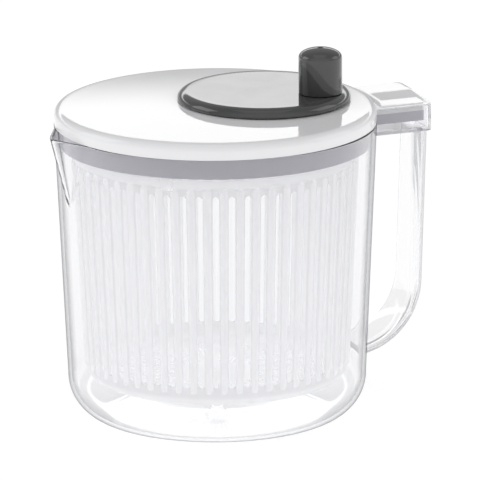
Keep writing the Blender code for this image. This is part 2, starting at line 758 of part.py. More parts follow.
def crank_disc(surface, crank):
    """The dished disc with its rolled rim, and the post that it turns on."""
    dish_z = DISC_TOP_Z - DISC_DISH
    under_z = dish_z - DISC_WALL
    roll_z = DISC_BOTTOM_Z + 0.9 * MM
    roll_x = DISC_FLAT_R + 0.5 * MM
    outer_wide, outer_tall = DISC_R - roll_x, DISC_TOP_Z - roll_z
    inner_x = DISC_R - 6.4 * MM
    inner_wide, inner_tall = DISC_R - DISC_WALL - inner_x, under_z - roll_z
    outside = [(0, dish_z), (DISC_FLAT_R - 2.6 * MM, dish_z)]
    outside += [(DISC_FLAT_R - 1.0 * MM, DISC_TOP_Z - 0.3 * MM)]
    for turn in range(5):
        angle = pi / 2 * (1 - turn / 4)
        outside.append((roll_x + outer_wide * cos(angle), roll_z + outer_tall * sin(angle)))
    outside.append((DISC_R, DISC_BOTTOM_Z))
    inside = [(DISC_R - DISC_WALL, DISC_BOTTOM_Z)]
    for turn in range(3):
        angle = pi / 2 * turn / 2
        inside.append((inner_x + inner_wide * cos(angle), roll_z + inner_tall * sin(angle)))
    post_bottom = HOUSING_UNDER_Z - GAP
    hole_top = RIM_Z + 8 * MM
    post = [(POST_R, under_z), (POST_R, post_bottom), (POST_HOLE_R, post_bottom)]
    post += [(POST_HOLE_R, hole_top), (0, hole_top)]
    return turned("crank_disc", outside + inside + post, CRANK_X, 0, surface, crank, steps=40)


def crank_fixings(steel, crank):
    top = HOUSING_UNDER_Z - 2 * GAP
    low = top - 1 * MM
    washer_r = BUSH_R + 2.4 * MM
    washer = [(washer_r, top), (washer_r, low), (POST_HOLE_R, low), (POST_HOLE_R, top)]
    turned("crank_washer", washer, CRANK_X, 0, steel, crank, steps=20, ring=True)
    screw("crank_screw", CRANK_X, 0, low - GAP, 9 * MM, 4 * MM, steel, crank, shank_r=1.5 * MM, head=2.2 * MM)


def knob_position():
    return CRANK_X + KNOB_ORBIT * cos(KNOB_ANGLE), KNOB_ORBIT * sin(KNOB_ANGLE)


def knob(surface, steel, washer_surface, disc, crank, spin):
    """The hollow knob, the pin that it turns on, and the washer under it."""
    x, y = knob_position()
    pin_low = GEAR_TOP_Z + GAP
    bore = PIN_R + GAP
    pin = [(0, PIN_TOP_Z), (PIN_R - 0.6 * MM, PIN_TOP_Z), (PIN_R, PIN_TOP_Z - 0.8 * MM)]
    pin += [(PIN_R, PIN_HEAD_Z), (PIN_HEAD_R, PIN_HEAD_Z), (PIN_HEAD_R, pin_low), (0, pin_low)]
    turned("knob_pin", pin, x, y, steel, crank, steps=16)
    boss = cylinder("knob_boss", KNOB_BOSS_R, pin_low, DISC_BOSS_TOP_Z + 0.2 * MM, x, y)
    pin_hole = cylinder("knob_pin_hole", bore, CUT_LOW_Z, CUT_ABOVE_Z, x, y)
    head_hole = cylinder("knob_pin_head_hole", PIN_HEAD_R + GAP, CUT_LOW_Z, PIN_HEAD_Z + GAP, x, y)
    join(disc, boss)
    cut(disc, pin_hole, head_hole)
    low = DISC_TOP_Z - DISC_DISH + GAP
    top = KNOB_BOTTOM_Z - GAP
    washer = [(KNOB_WASHER_R, top), (KNOB_WASHER_R, low), (bore, low), (bore, top)]
    turned("knob_washer", washer, x, y, washer_surface, crank, steps=20, ring=True)
    dome = KNOB_TOP_Z - 0.5 * MM - KNOB_SIDE_TOP_Z
    outside = [(0, KNOB_TOP_Z), (1 * MM, KNOB_TOP_Z)]
    for turn in range(5):
        angle = radians(85) * (1 - turn / 4)
        outside.append((KNOB_R * cos(angle), KNOB_SIDE_TOP_Z + dome * sin(angle)))
    outside.append((KNOB_R, KNOB_BOTTOM_Z))
    ceiling = KNOB_SIDE_TOP_Z - 1 * MM
    hole_top = PIN_TOP_Z + 1 * MM
    inside = [(KNOB_R - 2 * MM, KNOB_BOTTOM_Z), (KNOB_R - 2.4 * MM, ceiling), (KNOB_HUB_R, ceiling)]
    inside += [(KNOB_HUB_R, KNOB_BOTTOM_Z), (bore, KNOB_BOTTOM_Z), (bore, hole_top), (0, hole_top)]
    turned("knob", outside + inside, x, y, surface, spin, steps=28)


# Drive to the basket


def drive_train(surface, steel, drive):
    """The shaft through the housing, and the inner lid whose lugs drop into the basket's rim."""
    shoulder_r = SHAFT_R + 3 * MM
    shoulder_top = SHAFT_COLLAR_Z - 0.6 * MM
    shoulder_low = PLATE_HUB_TOP_Z + GAP
    shaft_low = PLATE_TOP_Z + 0.2 * MM
    shaft = [
        (0, PINION_LOW_Z),
        (SCREW_HOLE_R, PINION_LOW_Z),
        (SCREW_HOLE_R, PINION_TOP_Z - 0.1 * MM),
        (SHAFT_R, PINION_TOP_Z - 0.1 * MM),
        (SHAFT_R, shoulder_top),
        (shoulder_r, shoulder_top),
        (shoulder_r, shoulder_low),
        (SHAFT_R, shoulder_low),
        (SHAFT_R, shaft_low),
        (SCREW_HOLE_R, shaft_low),
        (SCREW_HOLE_R, SHAFT_COLLAR_Z),
        (0, SHAFT_COLLAR_Z),
    ]
    turned("drive_shaft", shaft, surface=steel, parent=drive, steps=20)
    plate_low = PLATE_TOP_Z - PLATE_THICKNESS
    lip_r = PLATE_R - PLATE_LIP
    lip_z = PLATE_TOP_Z + PLATE_LIP
    hub_low = plate_low - 0.6 * MM
    socket_z = shaft_low - 0.5 * MM
    profile = [
        (PLATE_R, lip_z),
        (PLATE_R, plate_low),
        (14 * MM, plate_low),
        (12 * MM, hub_low),
        (SCREW_HOLE_R, hub_low),
        (SCREW_HOLE_R, socket_z),
        (SHAFT_R + GAP, socket_z),
        (SHAFT_R + GAP, PLATE_HUB_TOP_Z),
        (11 * MM, PLATE_HUB_TOP_Z),
        (12 * MM, PLATE_TOP_Z),
        (lip_r, PLATE_TOP_Z),
        (lip_r, lip_z),
    ]
    plate = turned("drive_plate", profile, surface=surface, parent=drive, ring=True)
    lugs = radial_cutters(
        "drive_lugs",
        LUGS,
        LUG_ANGLE,
        LUG_WIDTH,
        LUG_INNER_R,
        LUG_OUTER_R,
        LUG_BOTTOM_Z,
        PLATE_TOP_Z + PLATE_LIP / 2,
    )
    ribs = radial_cutters(
        "drive_ribs",
        RIBS,
        0,
        RIB_WIDTH,
        11.2 * MM,
        PLATE_R - 1.2 * MM,
        plate_low + 0.5 * MM,
        PLATE_TOP_Z + 1.7 * MM,
    )
    join(plate, lugs, ribs)
    screw("drive_screw", 0, 0, hub_low - GAP, 7 * MM, 4 * MM, steel, drive)


def main():
    clear_scene()
    clear = material("clear_plastic", (0.92, 0.94, 0.95), 0.05, alpha=0.35, transmission=1.0)
    white = material("white_plastic", (0.86, 0.86, 0.87), 0.22)
    milky = material("milky_plastic", (0.9, 0.9, 0.88), 0.35)
    grey = material("dark_grey_plastic", (0.09, 0.09, 0.093), 0.18)
    acetal = material("acetal", (0.8, 0.8, 0.76), 0.4)
    steel = material("stainless_steel", (0.62, 0.62, 0.6), 0.3, metallic=1.0)

    lid = pivot("lid_axis", 0, 0)
    crank = pivot("crank_axis", CRANK_X, 0, lid)
    spin = pivot("knob_axis", *knob_position(), crank)
    drive = pivot("drive_axis", 0, 0, lid)
    lift = pivot("basket_lift_axis", 0, 0)
    turn = pivot("basket_axis", 0, 0, lift)

    jug(clear)
    basket(milky, acetal, lift, turn)
    shell = lid_shell(white, lid)
    gear_housing(white, acetal, steel, shell, lid)
    disc = crank_disc(grey, crank)
    ring_gear(acetal, steel, disc, crank)
    crank_fixings(steel, crank)
    knob(grey, steel, acetal, disc, crank, spin)
    pinion(acetal, steel, drive)
    drive_train(milky, steel, drive)


main()
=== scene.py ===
"""Looks, light and camera for the salad spinner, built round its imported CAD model.

Metres, +Z up, in the CAD frame: the jug's axis is Z, its base lies at z = 0 and the handle is at +X.
"""

import json
from math import atan2, cos, hypot, pi, radians, sin, sqrt

import bmesh
import bpy
from mathutils import Matrix, Vector


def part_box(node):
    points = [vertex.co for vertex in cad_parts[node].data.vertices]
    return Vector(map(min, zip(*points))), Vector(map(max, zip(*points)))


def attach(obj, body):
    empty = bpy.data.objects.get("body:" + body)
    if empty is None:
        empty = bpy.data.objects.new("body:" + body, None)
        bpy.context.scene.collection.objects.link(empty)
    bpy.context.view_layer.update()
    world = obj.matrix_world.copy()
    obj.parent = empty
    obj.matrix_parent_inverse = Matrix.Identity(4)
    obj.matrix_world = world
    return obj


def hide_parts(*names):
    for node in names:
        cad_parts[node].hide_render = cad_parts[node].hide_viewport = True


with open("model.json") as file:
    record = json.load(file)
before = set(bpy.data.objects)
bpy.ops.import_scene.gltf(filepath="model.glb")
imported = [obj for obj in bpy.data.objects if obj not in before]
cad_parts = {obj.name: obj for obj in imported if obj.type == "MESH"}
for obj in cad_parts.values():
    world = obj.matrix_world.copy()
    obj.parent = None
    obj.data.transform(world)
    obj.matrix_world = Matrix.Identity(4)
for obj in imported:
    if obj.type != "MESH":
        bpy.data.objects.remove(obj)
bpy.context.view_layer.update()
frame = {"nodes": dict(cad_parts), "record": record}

MM = 0.001

# Places taken from the frame
JUG_LOW, JUG_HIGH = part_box("jug")
LID_LOW, LID_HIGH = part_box("lid_shell")
DISC_LOW, DISC_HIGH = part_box("crank_disc")
KNOB_LOW, KNOB_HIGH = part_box("knob")
BASKET_LOW, BASKET_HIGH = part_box("basket")

# Jug
RIM_R = JUG_HIGH.y
RIM_Z = JUG_HIGH.z - 3.4 * MM
FOOT_R = RIM_R - 7.8 * MM
BASE_FILLET = 28 * MM
STRAIGHT_Z = 40 * MM  # lowest of the even rows up the straight wall
WALL = 2.3 * MM
SPOUT_R = -JUG_LOW.x
SPOUT_DEPTH = 49 * MM
SPOUT_HALF_ANGLE = radians(15.4)
RIDGE_SOFTNESS = radians(2.0)
SPOUT_ROWS = 28
SPOUT_COLUMNS = 72
POST_R = 4.0 * MM
POST_TOP_Z = 20 * MM
POST_ROUND = 1.2 * MM
POST_FOOT_FILLET = 2 * MM

# Handle
HANDLE_X = JUG_HIGH.x
BOX_HALF = 27.5 * MM
BOX_BOTTOM_Z = RIM_Z - 13.4 * MM
BOX_TOP_Z = JUG_HIGH.z
BOX_WALL = 2.2 * MM
BOX_CORNER = 4 * MM
BOX_INNER_CORNER = 2.5 * MM
BOX_START_X = 90 * MM  # inside the jug, so that the box runs into its wall
HOLLOW_START_X = BOX_START_X - 9 * MM
COVER_LOW_Z = 100 * MM  # below the whole box
LID_ROOM = 0.4 * MM  # the box's walls stay this clear of the lid's edge
STRAP_WIDTH = 37 * MM
STRAP_THICKNESS = 3.6 * MM
STRAP_EDGE = 1.3 * MM
BEND_R = 48 * MM
BEND_X = 87 * MM
BEND_Z = RIM_Z - 112 * MM

# Lid
LID_TOP_Z = LID_HIGH.z
LID_EDGE_Z = LID_TOP_Z - 1.0 * MM
LID_SHOULDER = 5 * MM
LID_WALL = 2.2 * MM
SKIRT_R = 100 * MM
SKIRT_BOTTOM_Z = LID_LOW.z
CROWN_R = 96 * MM  # just short of the shoulder
LID_BOTTOM_Z = RIM_Z + 0.12 * MM
LID_BAND = 1.9 * MM  # the edge outside the channel that the jug's rim stands in
CHANNEL_TOP_Z = RIM_Z + 7 * MM
WELL_R = 50.6 * MM
WELL_LOW_Z = 190 * MM  # below the lid's plate, which the well goes through
ABOVE_LID_Z = 300 * MM
TAB_TOP_Z = RIM_Z + 6 * MM
TAB_UNDER_Z = RIM_Z + 4 * MM
TAB_SKIRT_Z = RIM_Z - 6.6 * MM
TAB_BLEND_RISE = 3.5 * MM
TAB_BLEND_REACH = 6 * MM
TAB_FALL = 1.6 * MM
TAB_CREASE_Y = 8 * MM
TAB_FALL_START = 8 * MM  # the fall grows over this length from the lid
TAB_CURVE = 1.3  # shapes the fall and the spacing of the tab's rows
TAB_SKIRT_GAP = 2.9 * MM
TAB_SKIRT_END_GAP = 4.5 * MM
TAB_SKIRT_WALL = 1.7 * MM
TAB_SKIRT_START_X = 80 * MM
TAB_SKIRT_CORNER = 2.5 * MM
# Grey-lilac painted shade for the lid's parts below the jug's rim, in the shade of its overhang
SKIRT_SHADE_COLOUR = (0.56, 0.55, 0.6)

# Crank disc and knob
CRANK_X = (DISC_LOW.x + DISC_HIGH.x) / 2
DISC_R = (DISC_HIGH.x - DISC_LOW.x) / 2
DISC_FLAT_R = 48.6 * MM
DISC_BOTTOM_Z = RIM_Z + 12.1 * MM
DISC_TOP_Z = RIM_Z + 17.8 * MM
DISC_WALL = 1.8 * MM
DISC_ROLL = 6.4 * MM
CRANK_POST_R = 5 * MM
SCREW_BORE_R = 1.9 * MM
SCREW_BORE_TOP_Z = RIM_Z + 8 * MM
WASHER_SEAT_R = 7.4 * MM
WASHER_SEAT_Z = (RIM_Z + 16.6 * MM, RIM_Z + 20 * MM)
KNOB_X = (KNOB_LOW.x + KNOB_HIGH.x) / 2
KNOB_Y = (KNOB_LOW.y + KNOB_HIGH.y) / 2
KNOB_R = 14 * MM
KNOB_DOME = 6.4 * MM
KNOB_WALL = 2 * MM
KNOB_CEILING_DEPTH = 1 * MM  # from the dome's foot to the hollow's ceiling
KNOB_HUB_R = 6.2 * MM
PIN_BORE_R = 3.4 * MM
PIN_BORE_DEPTH = 18 * MM

# Basket
BASKET_RIM_Z = BASKET_HIGH.z
BASKET_RIM_R = BASKET_HIGH.x
BASKET_TOP_R = BASKET_RIM_R - 1.2 * MM
BASKET_LOW_R = 83.6 * MM
BASKET_FLOOR_Z = 25.5 * MM
BASKET_FILLET = 11 * MM
BASKET_WALL = 2.0 * MM
BASKET_BAND = 5 * MM
HUB_R = 11.2 * MM
HUB_BORE_R = 9 * MM
SLOTS = 54
SLOT_WIDTH = 4.4 * MM
SLOT_TOP_Z = RIM_Z - 26.7 * MM
SLOT_BOTTOM_Z = 38.6 * MM
SLOT_ANGLE = radians(-125.2)
FLUTE_RISE = 1.5 * MM
FLUTE_TOP_Z = RIM_Z - 21.2 * MM
FLUTE_ARCH = 3 * MM
FLOOR_SLOT_WIDTH = 3 * MM
FLOOR_SLOT_R = (28 * MM, 68 * MM)
NOTCH_DEPTH = 7.9 * MM
NOTCH_COLUMNS = (535, 130, 265, 400)  # mesh columns in the middle of the rim's notches
COLUMNS = 10  # mesh columns to one slot and one rib

ROUND = 192  # mesh columns round a large turned piece

# Camera: a long lens in front of the object (-Y), turned a little towards the spout and raised
CAMERA_TURN = radians(-21.8)
CAMERA_RISE = radians(14.6)
CAMERA_DISTANCE = 9.6
CAMERA_ROLL = radians(-0.39)
LENS_MM = 1125
SENSOR_MM = 36
AIM_RIGHT = 15.2 * MM
AIM_Z = 114.6 * MM

# Light, where a glow of 1 is as bright as a white card
WALL_GLOW = 0.42
FRONT_GLOW = 0.85
STRIP_GLOW = 1.65
STRIP_START = (11.6, 14.4)  # degrees above the floor
STRIP_END = (16.8, 18.6)
STRIP_SIDES = (0.35, 0.6)  # cosines of the turn from straight behind, where the strip fades in
FRONT_SIDES = (0.2, 0.95)  # the same from the camera's side, where the walls get brighter
FRONT_RISE = radians(10)
FLOOR_GLOW = 0.75
FLOOR_R = 30
SOFTBOX_SIZE = 1.3
SOFTBOX_DISTANCE = 2.2
# Each softbox: its name, degrees round from the camera, degrees above the floor, glow
SOFTBOXES = (("left", -95, 30, 1.5), ("right", 95, 30, 1.0), ("top", 0, 88, 0.35))
LIGHT_BOUNCES = 32


# Materials


class Finish:
    """A material on one Principled shader, with short calls for its texture nodes."""

    def __init__(self, name, colour, roughness, metallic=0.0):
        self.material = bpy.data.materials.new(name)
        self.material.use_nodes = True
        self.tree = self.material.node_tree
        self.shader = self.tree.nodes["Principled BSDF"]
        self.output = self.tree.nodes["Material Output"]
        self.shader.inputs["Base Color"].default_value = (*colour, 1)
        self.shader.inputs["Roughness"].default_value = roughness
        self.shader.inputs["Metallic"].default_value = metallic
        self.place = self.node("ShaderNodeTexCoord").outputs["Object"]

    def node(self, kind, **inputs):
        made = self.tree.nodes.new(kind)
        for name, value in inputs.items():
            made.inputs[name.replace("_", " ")].default_value = value
        return made

    def link(self, source, target):
        self.tree.links.new(source, target)

    def noise(self, scale, detail=3.0, stretch=None):
        """Smooth noise whose grains are about 1/scale metres wide, drawn out along an axis by stretch."""
        source = self.place
        if stretch:
            mapping = self.node("ShaderNodeMapping", Scale=stretch)
            self.link(source, mapping.inputs["Vector"])
            source = mapping.outputs["Vector"]
        made = self.node("ShaderNodeTexNoise", Scale=scale, Detail=detail)
        self.link(source, made.inputs["Vector"])
        return made.outputs["Fac"]

    def spread(self, source, low, high):
        """Maps the middle of a noise to a range of numbers."""
        made = self.node("ShaderNodeMapRange", From_Min=0.3, From_Max=0.7, To_Min=low, To_Max=high)
        self.link(source, made.inputs["Value"])
        return made.outputs["Result"]

    def colours(self, source, first, second):
        made = self.node("ShaderNodeMix")
        made.data_type = "RGBA"
        for index, colour in ((6, first), (7, second)):
            made.inputs[index].default_value = (*colour, 1)
        self.link(self.spread(source, 0, 1), made.inputs[0])
        self.link(made.outputs[2], self.shader.inputs["Base Color"])

    def rough(self, source, low, high):
        self.link(self.spread(source, low, high), self.shader.inputs["Roughness"])

    def bumps(self, *layers):
        """Stacks bump layers of (noise, strength, depth in metres)."""
        normal = None
        for source, strength, depth in layers:
            bump = self.node("ShaderNodeBump", Strength=strength, Distance=depth)
            self.link(source, bump.inputs["Height"])
            if normal:
                self.link(normal, bump.inputs["Normal"])
            normal = bump.outputs["Normal"]
        self.link(normal, self.shader.inputs["Normal"])


def clear_plastic():
    """Polished clear plastic with the faint waviness of a moulding.

    It greys where it is seen edge on, as thick clear walls do, and it hardly shades what stands behind it.
    """
    finish = Finish("clear_plastic", (0.945, 0.945, 0.955), 0.02)
    finish.shader.inputs["Transmission Weight"].default_value = 1
    finish.shader.inputs["IOR"].default_value = 1.38
    finish.rough(finish.noise(35, 4), 0.004, 0.03)
    finish.bumps((finish.noise(22, 1), 0.1, 0.4 * MM), (finish.noise(900, 2), 0.02, 0.05 * MM))
    weight = finish.node("ShaderNodeLayerWeight", Blend=0.5)
    edge = finish.node("ShaderNodeMapRange", From_Min=0.72, From_Max=0.94, To_Min=0, To_Max=0.97)
    finish.link(weight.outputs["Facing"], edge.inputs["Value"])
    grey = finish.node("ShaderNodeBsdfTransparent", Color=(0.6, 0.6, 0.62, 1))
    edged = finish.node("ShaderNodeMixShader")
    finish.link(edge.outputs["Result"], edged.inputs[0])
    finish.link(finish.shader.outputs[0], edged.inputs[1])
    finish.link(grey.outputs[0], edged.inputs[2])
    passing = finish.node("ShaderNodeBsdfTransparent", Color=(0.975, 0.975, 0.98, 1))
    rays = finish.node("ShaderNodeLightPath")
    mixed = finish.node("ShaderNodeMixShader")
    finish.link(rays.outputs["Is Shadow Ray"], mixed.inputs[0])
    finish.link(edged.outputs[0], mixed.inputs[1])
    finish.link(passing.outputs[0], mixed.inputs[2])
    finish.link(mixed.outputs[0], finish.output.inputs["Surface"])
    return finish.material


def white_plastic():
    """Glossy white with soft sink marks, fine moulding grain and a slightly uneven gloss."""
    finish = Finish("white_plastic", (0.9, 0.9, 0.915), 0.15)
    finish.shader.inputs["IOR"].default_value = 1.5
    finish.colours(finish.noise(12, 4), (0.885, 0.885, 0.9), (0.915, 0.915, 0.93))
    finish.rough(finish.noise(48, 5), 0.02, 0.06)
    finish.bumps((finish.noise(16, 1), 0.02, 0.3 * MM), (finish.noise(1400, 2), 0.02, 0.02 * MM))
    return finish.material


def lid_plastic_skirt_shade():
    """The lid's white, with grey-lilac painted shade on its parts below the jug's rim: the skirt under its
    rim and the lower part of the tab's skirt.
    """
    material = white_plastic()
    material.name = "lid_plastic_skirt_shade"
    nodes, links = material.node_tree.nodes, material.node_tree.links
    colour = nodes["Principled BSDF"].inputs["Base Color"]
    # Painted shade: below the jug's rim the lid's colour fades to the skirt's shade colour
    height = nodes.new("ShaderNodeSeparateXYZ")
    links.new(nodes["Texture Coordinate"].outputs["Object"], height.inputs[0])
    share = nodes.new("ShaderNodeMapRange")
    share.inputs["From Min"].default_value = RIM_Z - 0.2 * MM
    share.inputs["From Max"].default_value = RIM_Z + 0.05 * MM
    links.new(height.outputs["Z"], share.inputs["Value"])
    skirt = nodes.new("ShaderNodeMix")
    skirt.data_type = "RGBA"
    skirt.inputs[6].default_value = (*SKIRT_SHADE_COLOUR, 1)
    links.new(share.outputs["Result"], skirt.inputs[0])
    links.new(colour.links[0].from_socket, skirt.inputs[7])
    links.new(skirt.outputs[2], colour)
    return material


def milky_plastic():
    """Frosted plastic: satin, lit through from behind, and clear enough to show a little of what it hides.

    Its depth is measured outwards from the basket's wall: a painted glow lights it, stronger on the inner
    side, and painted shade greys everything standing less than 0.7 mm out from the wall, so the hollows
    between the ribs are greyer than the ribs' crests.
    """
    finish = Finish("milky_plastic", (0.96, 0.96, 0.96), 0.34)
    taper = (BASKET_TOP_R - BASKET_LOW_R) / (BASKET_RIM_Z - BASKET_FLOOR_Z - BASKET_FILLET)
    wall = BASKET_LOW_R - taper * (BASKET_FLOOR_Z + BASKET_FILLET)
    flat = finish.node("ShaderNodeVectorMath")
    flat.operation = "MULTIPLY"
    flat.inputs[1].default_value = (1, 1, 0)
    finish.link(finish.place, flat.inputs[0])
    radius = finish.node("ShaderNodeVectorMath")
    radius.operation = "LENGTH"
    finish.link(flat.outputs["Vector"], radius.inputs[0])
    height = finish.node("ShaderNodeSeparateXYZ")
    finish.link(finish.place, height.inputs[0])
    depth = finish.node("ShaderNodeMath")
    depth.operation = "MULTIPLY_ADD"
    depth.inputs[1].default_value = -taper
    finish.link(height.outputs["Z"], depth.inputs[0])
    finish.link(radius.outputs["Value"], depth.inputs[2])

    def across(start, end, low, high):
        limits = {"From_Min": wall + start, "From_Max": wall + end, "To_Min": low, "To_Max": high}
        span = finish.node("ShaderNodeMapRange", **limits)
        finish.link(depth.outputs[0], span.inputs["Value"])
        return span.outputs["Result"]

    finish.colours(finish.noise(30, 4), (0.93, 0.93, 0.935), (0.96, 0.96, 0.965))
    # Painted shade: everything standing less than 0.7 mm out from the wall turns grey, so the hollows
    # between the ribs are darker than the ribs' crests
    painted_hollow_shade = finish.node("ShaderNodeMix")
    painted_hollow_shade.data_type = "RGBA"
    painted_hollow_shade.inputs[6].default_value = (0.62, 0.62, 0.63, 1)
    finish.link(across(0.05 * MM, 0.7 * MM, 0, 1), painted_hollow_shade.inputs[0])
    finish.link(finish.shader.inputs["Base Color"].links[0].from_socket, painted_hollow_shade.inputs[7])
    finish.link(painted_hollow_shade.outputs[2], finish.shader.inputs["Base Color"])
    # Painted light: the basket glows though it is no lamp, at 0.39 on its inner side and 0.2 on its outer
    # side
    finish.shader.inputs["Emission Color"].default_value = (0.99, 0.99, 1, 1)
    finish.link(across(-1.5 * MM, -0.5 * MM, 0.39, 0.2), finish.shader.inputs["Emission Strength"])
    finish.rough(finish.noise(70, 4), 0.26, 0.42)
    finish.bumps((finish.noise(60, 2), 0.05, 0.2 * MM), (finish.noise(1600, 3), 0.08, 0.03 * MM))
    lit = finish.node("ShaderNodeBsdfTranslucent", Color=(0.975, 0.975, 0.98, 1))
    body = finish.node("ShaderNodeMixShader", Fac=0.4)
    finish.link(finish.shader.outputs[0], body.inputs[1])
    finish.link(lit.outputs[0], body.inputs[2])
    through = finish.node("ShaderNodeBsdfTransparent", Color=(1, 1, 1, 1))
    rays = finish.node("ShaderNodeLightPath")
    share = finish.node("ShaderNodeMapRange", To_Min=0.4, To_Max=0.7)
    finish.link(rays.outputs["Is Shadow Ray"], share.inputs["Value"])
    mixed = finish.node("ShaderNodeMixShader")
    finish.link(share.outputs["Result"], mixed.inputs[0])
    finish.link(body.outputs[0], mixed.inputs[1])
    finish.link(through.outputs[0], mixed.inputs[2])
    finish.link(mixed.outputs[0], finish.output.inputs["Surface"])
    return finish.material


def dark_plastic():
    """Glossy dark grey, with fine hairlines and the dust-soft patches of handled plastic."""
    finish = Finish("dark_grey_plastic", (0.05, 0.05, 0.052), 0.12)
    finish.shader.inputs["IOR"].default_value = 1.52
    finish.shader.inputs["Coat Weight"].default_value = 0.35
    finish.shader.inputs["Coat Roughness"].default_value = 0.05
    finish.colours(finish.noise(24, 5), (0.046, 0.046, 0.048), (0.062, 0.062, 0.064))
    finish.rough(finish.noise(60, 5), 0.06, 0.09)
    hairlines = finish.noise(1800, 2, stretch=(1, 0.04, 1))
    finish.bumps((finish.noise(20, 1), 0.01, 0.2 * MM), (hairlines, 0.03, 0.02 * MM))
    return finish.material


def acetal():
    """Satin off-white gear plastic with a waxy, slightly mottled surface."""
    finish = Finish("acetal", (0.82, 0.82, 0.78), 0.38)
    finish.shader.inputs["Subsurface Weight"].default_value = 0.15
    finish.shader.inputs["Subsurface Scale"].default_value = 2 * MM
    finish.colours(finish.noise(120, 4), (0.79, 0.79, 0.745), (0.85, 0.85, 0.81))
    finish.rough(finish.noise(240, 3), 0.3, 0.46)
    finish.bumps((finish.noise(1500, 3), 0.12, 0.03 * MM))
    return finish.material


def steel():
    """Plated steel with fine turning lines."""
    finish = Finish("steel", (0.62, 0.62, 0.6), 0.3, metallic=1)
    finish.colours(finish.noise(300, 3), (0.56, 0.56, 0.545), (0.66, 0.66, 0.64))
    lines = finish.noise(3000, 2, stretch=(0.1, 0.1, 3))
    finish.rough(lines, 0.22, 0.4)
    finish.bumps((lines, 0.15, 0.02 * MM))
    return finish.material


FINISHES = {
    "clear_plastic": clear_plastic(),
    "white_plastic": white_plastic(),
    "milky_plastic": milky_plastic(),
    "dark_grey_plastic": dark_plastic(),
    "acetal": acetal(),
    "steel": steel(),
}


# Mesh helpers


def to_object(name, mesh):
    obj = bpy.data.objects.new(name, mesh)
    bpy.context.scene.collection.objects.link(obj)
    return obj


def from_bmesh(name, bm):
    bmesh.ops.recalc_face_normals(bm, faces=bm.faces)
    mesh = bpy.data.meshes.new(name)
    bm.to_mesh(mesh)
    bm.free()
    return to_object(name, mesh)


def smooth(obj, angle=35):
    obj.data.shade_smooth()
    obj.data.set_sharp_from_angle(angle=radians(angle))


def arc(x, z, radius, start, end, count):
    """Points on an arc in the plane of a profile, from one angle in degrees to another."""
    turns = [radians(start + (end - start) * i / count) for i in range(count + 1)]
    return [(x + radius * cos(a), z + radius * sin(a)) for a in turns]


def steps_between(low, high, count):
    return [low + (high - low) * i / count for i in range(count + 1)]


def softened(profile, radius, count=3):
    """Rounds each corner of a profile sharper than 25 degrees, as far as its sides allow."""
    done = []
    for i, point in enumerate(profile):
        before, after = Vector(profile[i - 1]), Vector(profile[(i + 1) % len(profile)])
        here = Vector(point)
        on_axis = point[0] < 0.01 * MM
        back, ahead = before - here, after - here
        turn = pi - back.angle(ahead, pi)
        if on_axis or turn < radians(25):
            done.append(point)
            continue
        reach = min(radius, back.length * 0.45, ahead.length * 0.45)
        start, end = here + back.normalized() * reach, here + ahead.normalized() * reach
        for k in range(count + 1):
            share = k / count
            bend = start * (1 - share) ** 2 + here * 2 * share * (1 - share) + end * share**2
            done.append(tuple(bend))
    return done


def turned(name, profile, x=0.0, y=0.0, columns=ROUND, angles=None):
    """Turns a profile of (radius, height) points about an upright axis through (x, y)."""
    angles = angles or [2 * pi * i / columns for i in range(columns)]
    bm = bmesh.new()
    rows = []
    for radius, height in profile:
        if radius < 0.01 * MM:
            rows.append([bm.verts.new((x, y, height))])
        else:
            rows.append([bm.verts.new((x + radius * cos(a), y + radius * sin(a), height)) for a in angles])
    for first, second in zip(rows, rows[1:]):
        for i in range(len(angles)):
            k = (i + 1) % len(angles)
            corners = [first[i % len(first)], first[k % len(first)]]
            corners += [second[k % len(second)], second[i % len(second)]]
            corners = list(dict.fromkeys(corners))
            if len(corners) > 2:
                bm.faces.new(corners)
    return from_bmesh(name, bm)


def drum(name, radius, low, high, x=0.0, y=0.0, columns=ROUND):
    """A plain round block between two heights."""
    return turned(name, [(0, high), (radius, high), (radius, low), (0, low)], x, y, columns)


def prism(name, outline, start, end, axis="Z"):
    """A flat outline carried from start to end along Z, or along Y for an outline of (x, z) points."""
    bm = bmesh.new()
    if axis == "Z":
        corners = [bm.verts.new((a, b, start)) for a, b in outline]
        step = (0, 0, end - start)
    else:
        corners = [bm.verts.new((a, start, b)) for a, b in outline]
        step = (0, end - start, 0)
    face = bm.faces.new(corners)
    grown = bmesh.ops.extrude_face_region(bm, geom=[face])["geom"]
    moved = [v for v in grown if isinstance(v, bmesh.types.BMVert)]
    bmesh.ops.translate(bm, verts=moved, vec=step)
    return from_bmesh(name, bm)


def rounded_rectangle(low, high, radius, count=8):
    """Corner points of a rectangle in plan with rounded corners."""
    (x0, y0), (x1, y1) = low, high
    corners = ((x1 - radius, y0 + radius, -90), (x1 - radius, y1 - radius, 0))
    corners += ((x0 + radius, y1 - radius, 90), (x0 + radius, y0 + radius, 180))
    return [point for x, y, start in corners for point in arc(x, y, radius, start, start + 90, count)]


def bevel(obj, width, segments=3, angle=40):
    modifier = obj.modifiers.new("Bevel", "BEVEL")
    modifier.width = width
    modifier.segments = segments
    modifier.limit_method = "ANGLE"
    modifier.angle_limit = radians(angle)


def settle(obj):
    """Applies an object's modifiers."""
    graph = bpy.context.evaluated_depsgraph_get()
    mesh = bpy.data.meshes.new_from_object(obj.evaluated_get(graph))
    obj.modifiers.clear()
    obj.data = mesh


def combine(obj, operation, *others):
    """A Boolean of obj with each other object, which is used up."""
    for other in others:
        modifier = obj.modifiers.new("Boolean", "BOOLEAN")
        modifier.object = other
        modifier.operation = operation
        modifier.solver = "MANIFOLD"
    settle(obj)
    for other in others:
        bpy.data.objects.remove(other)


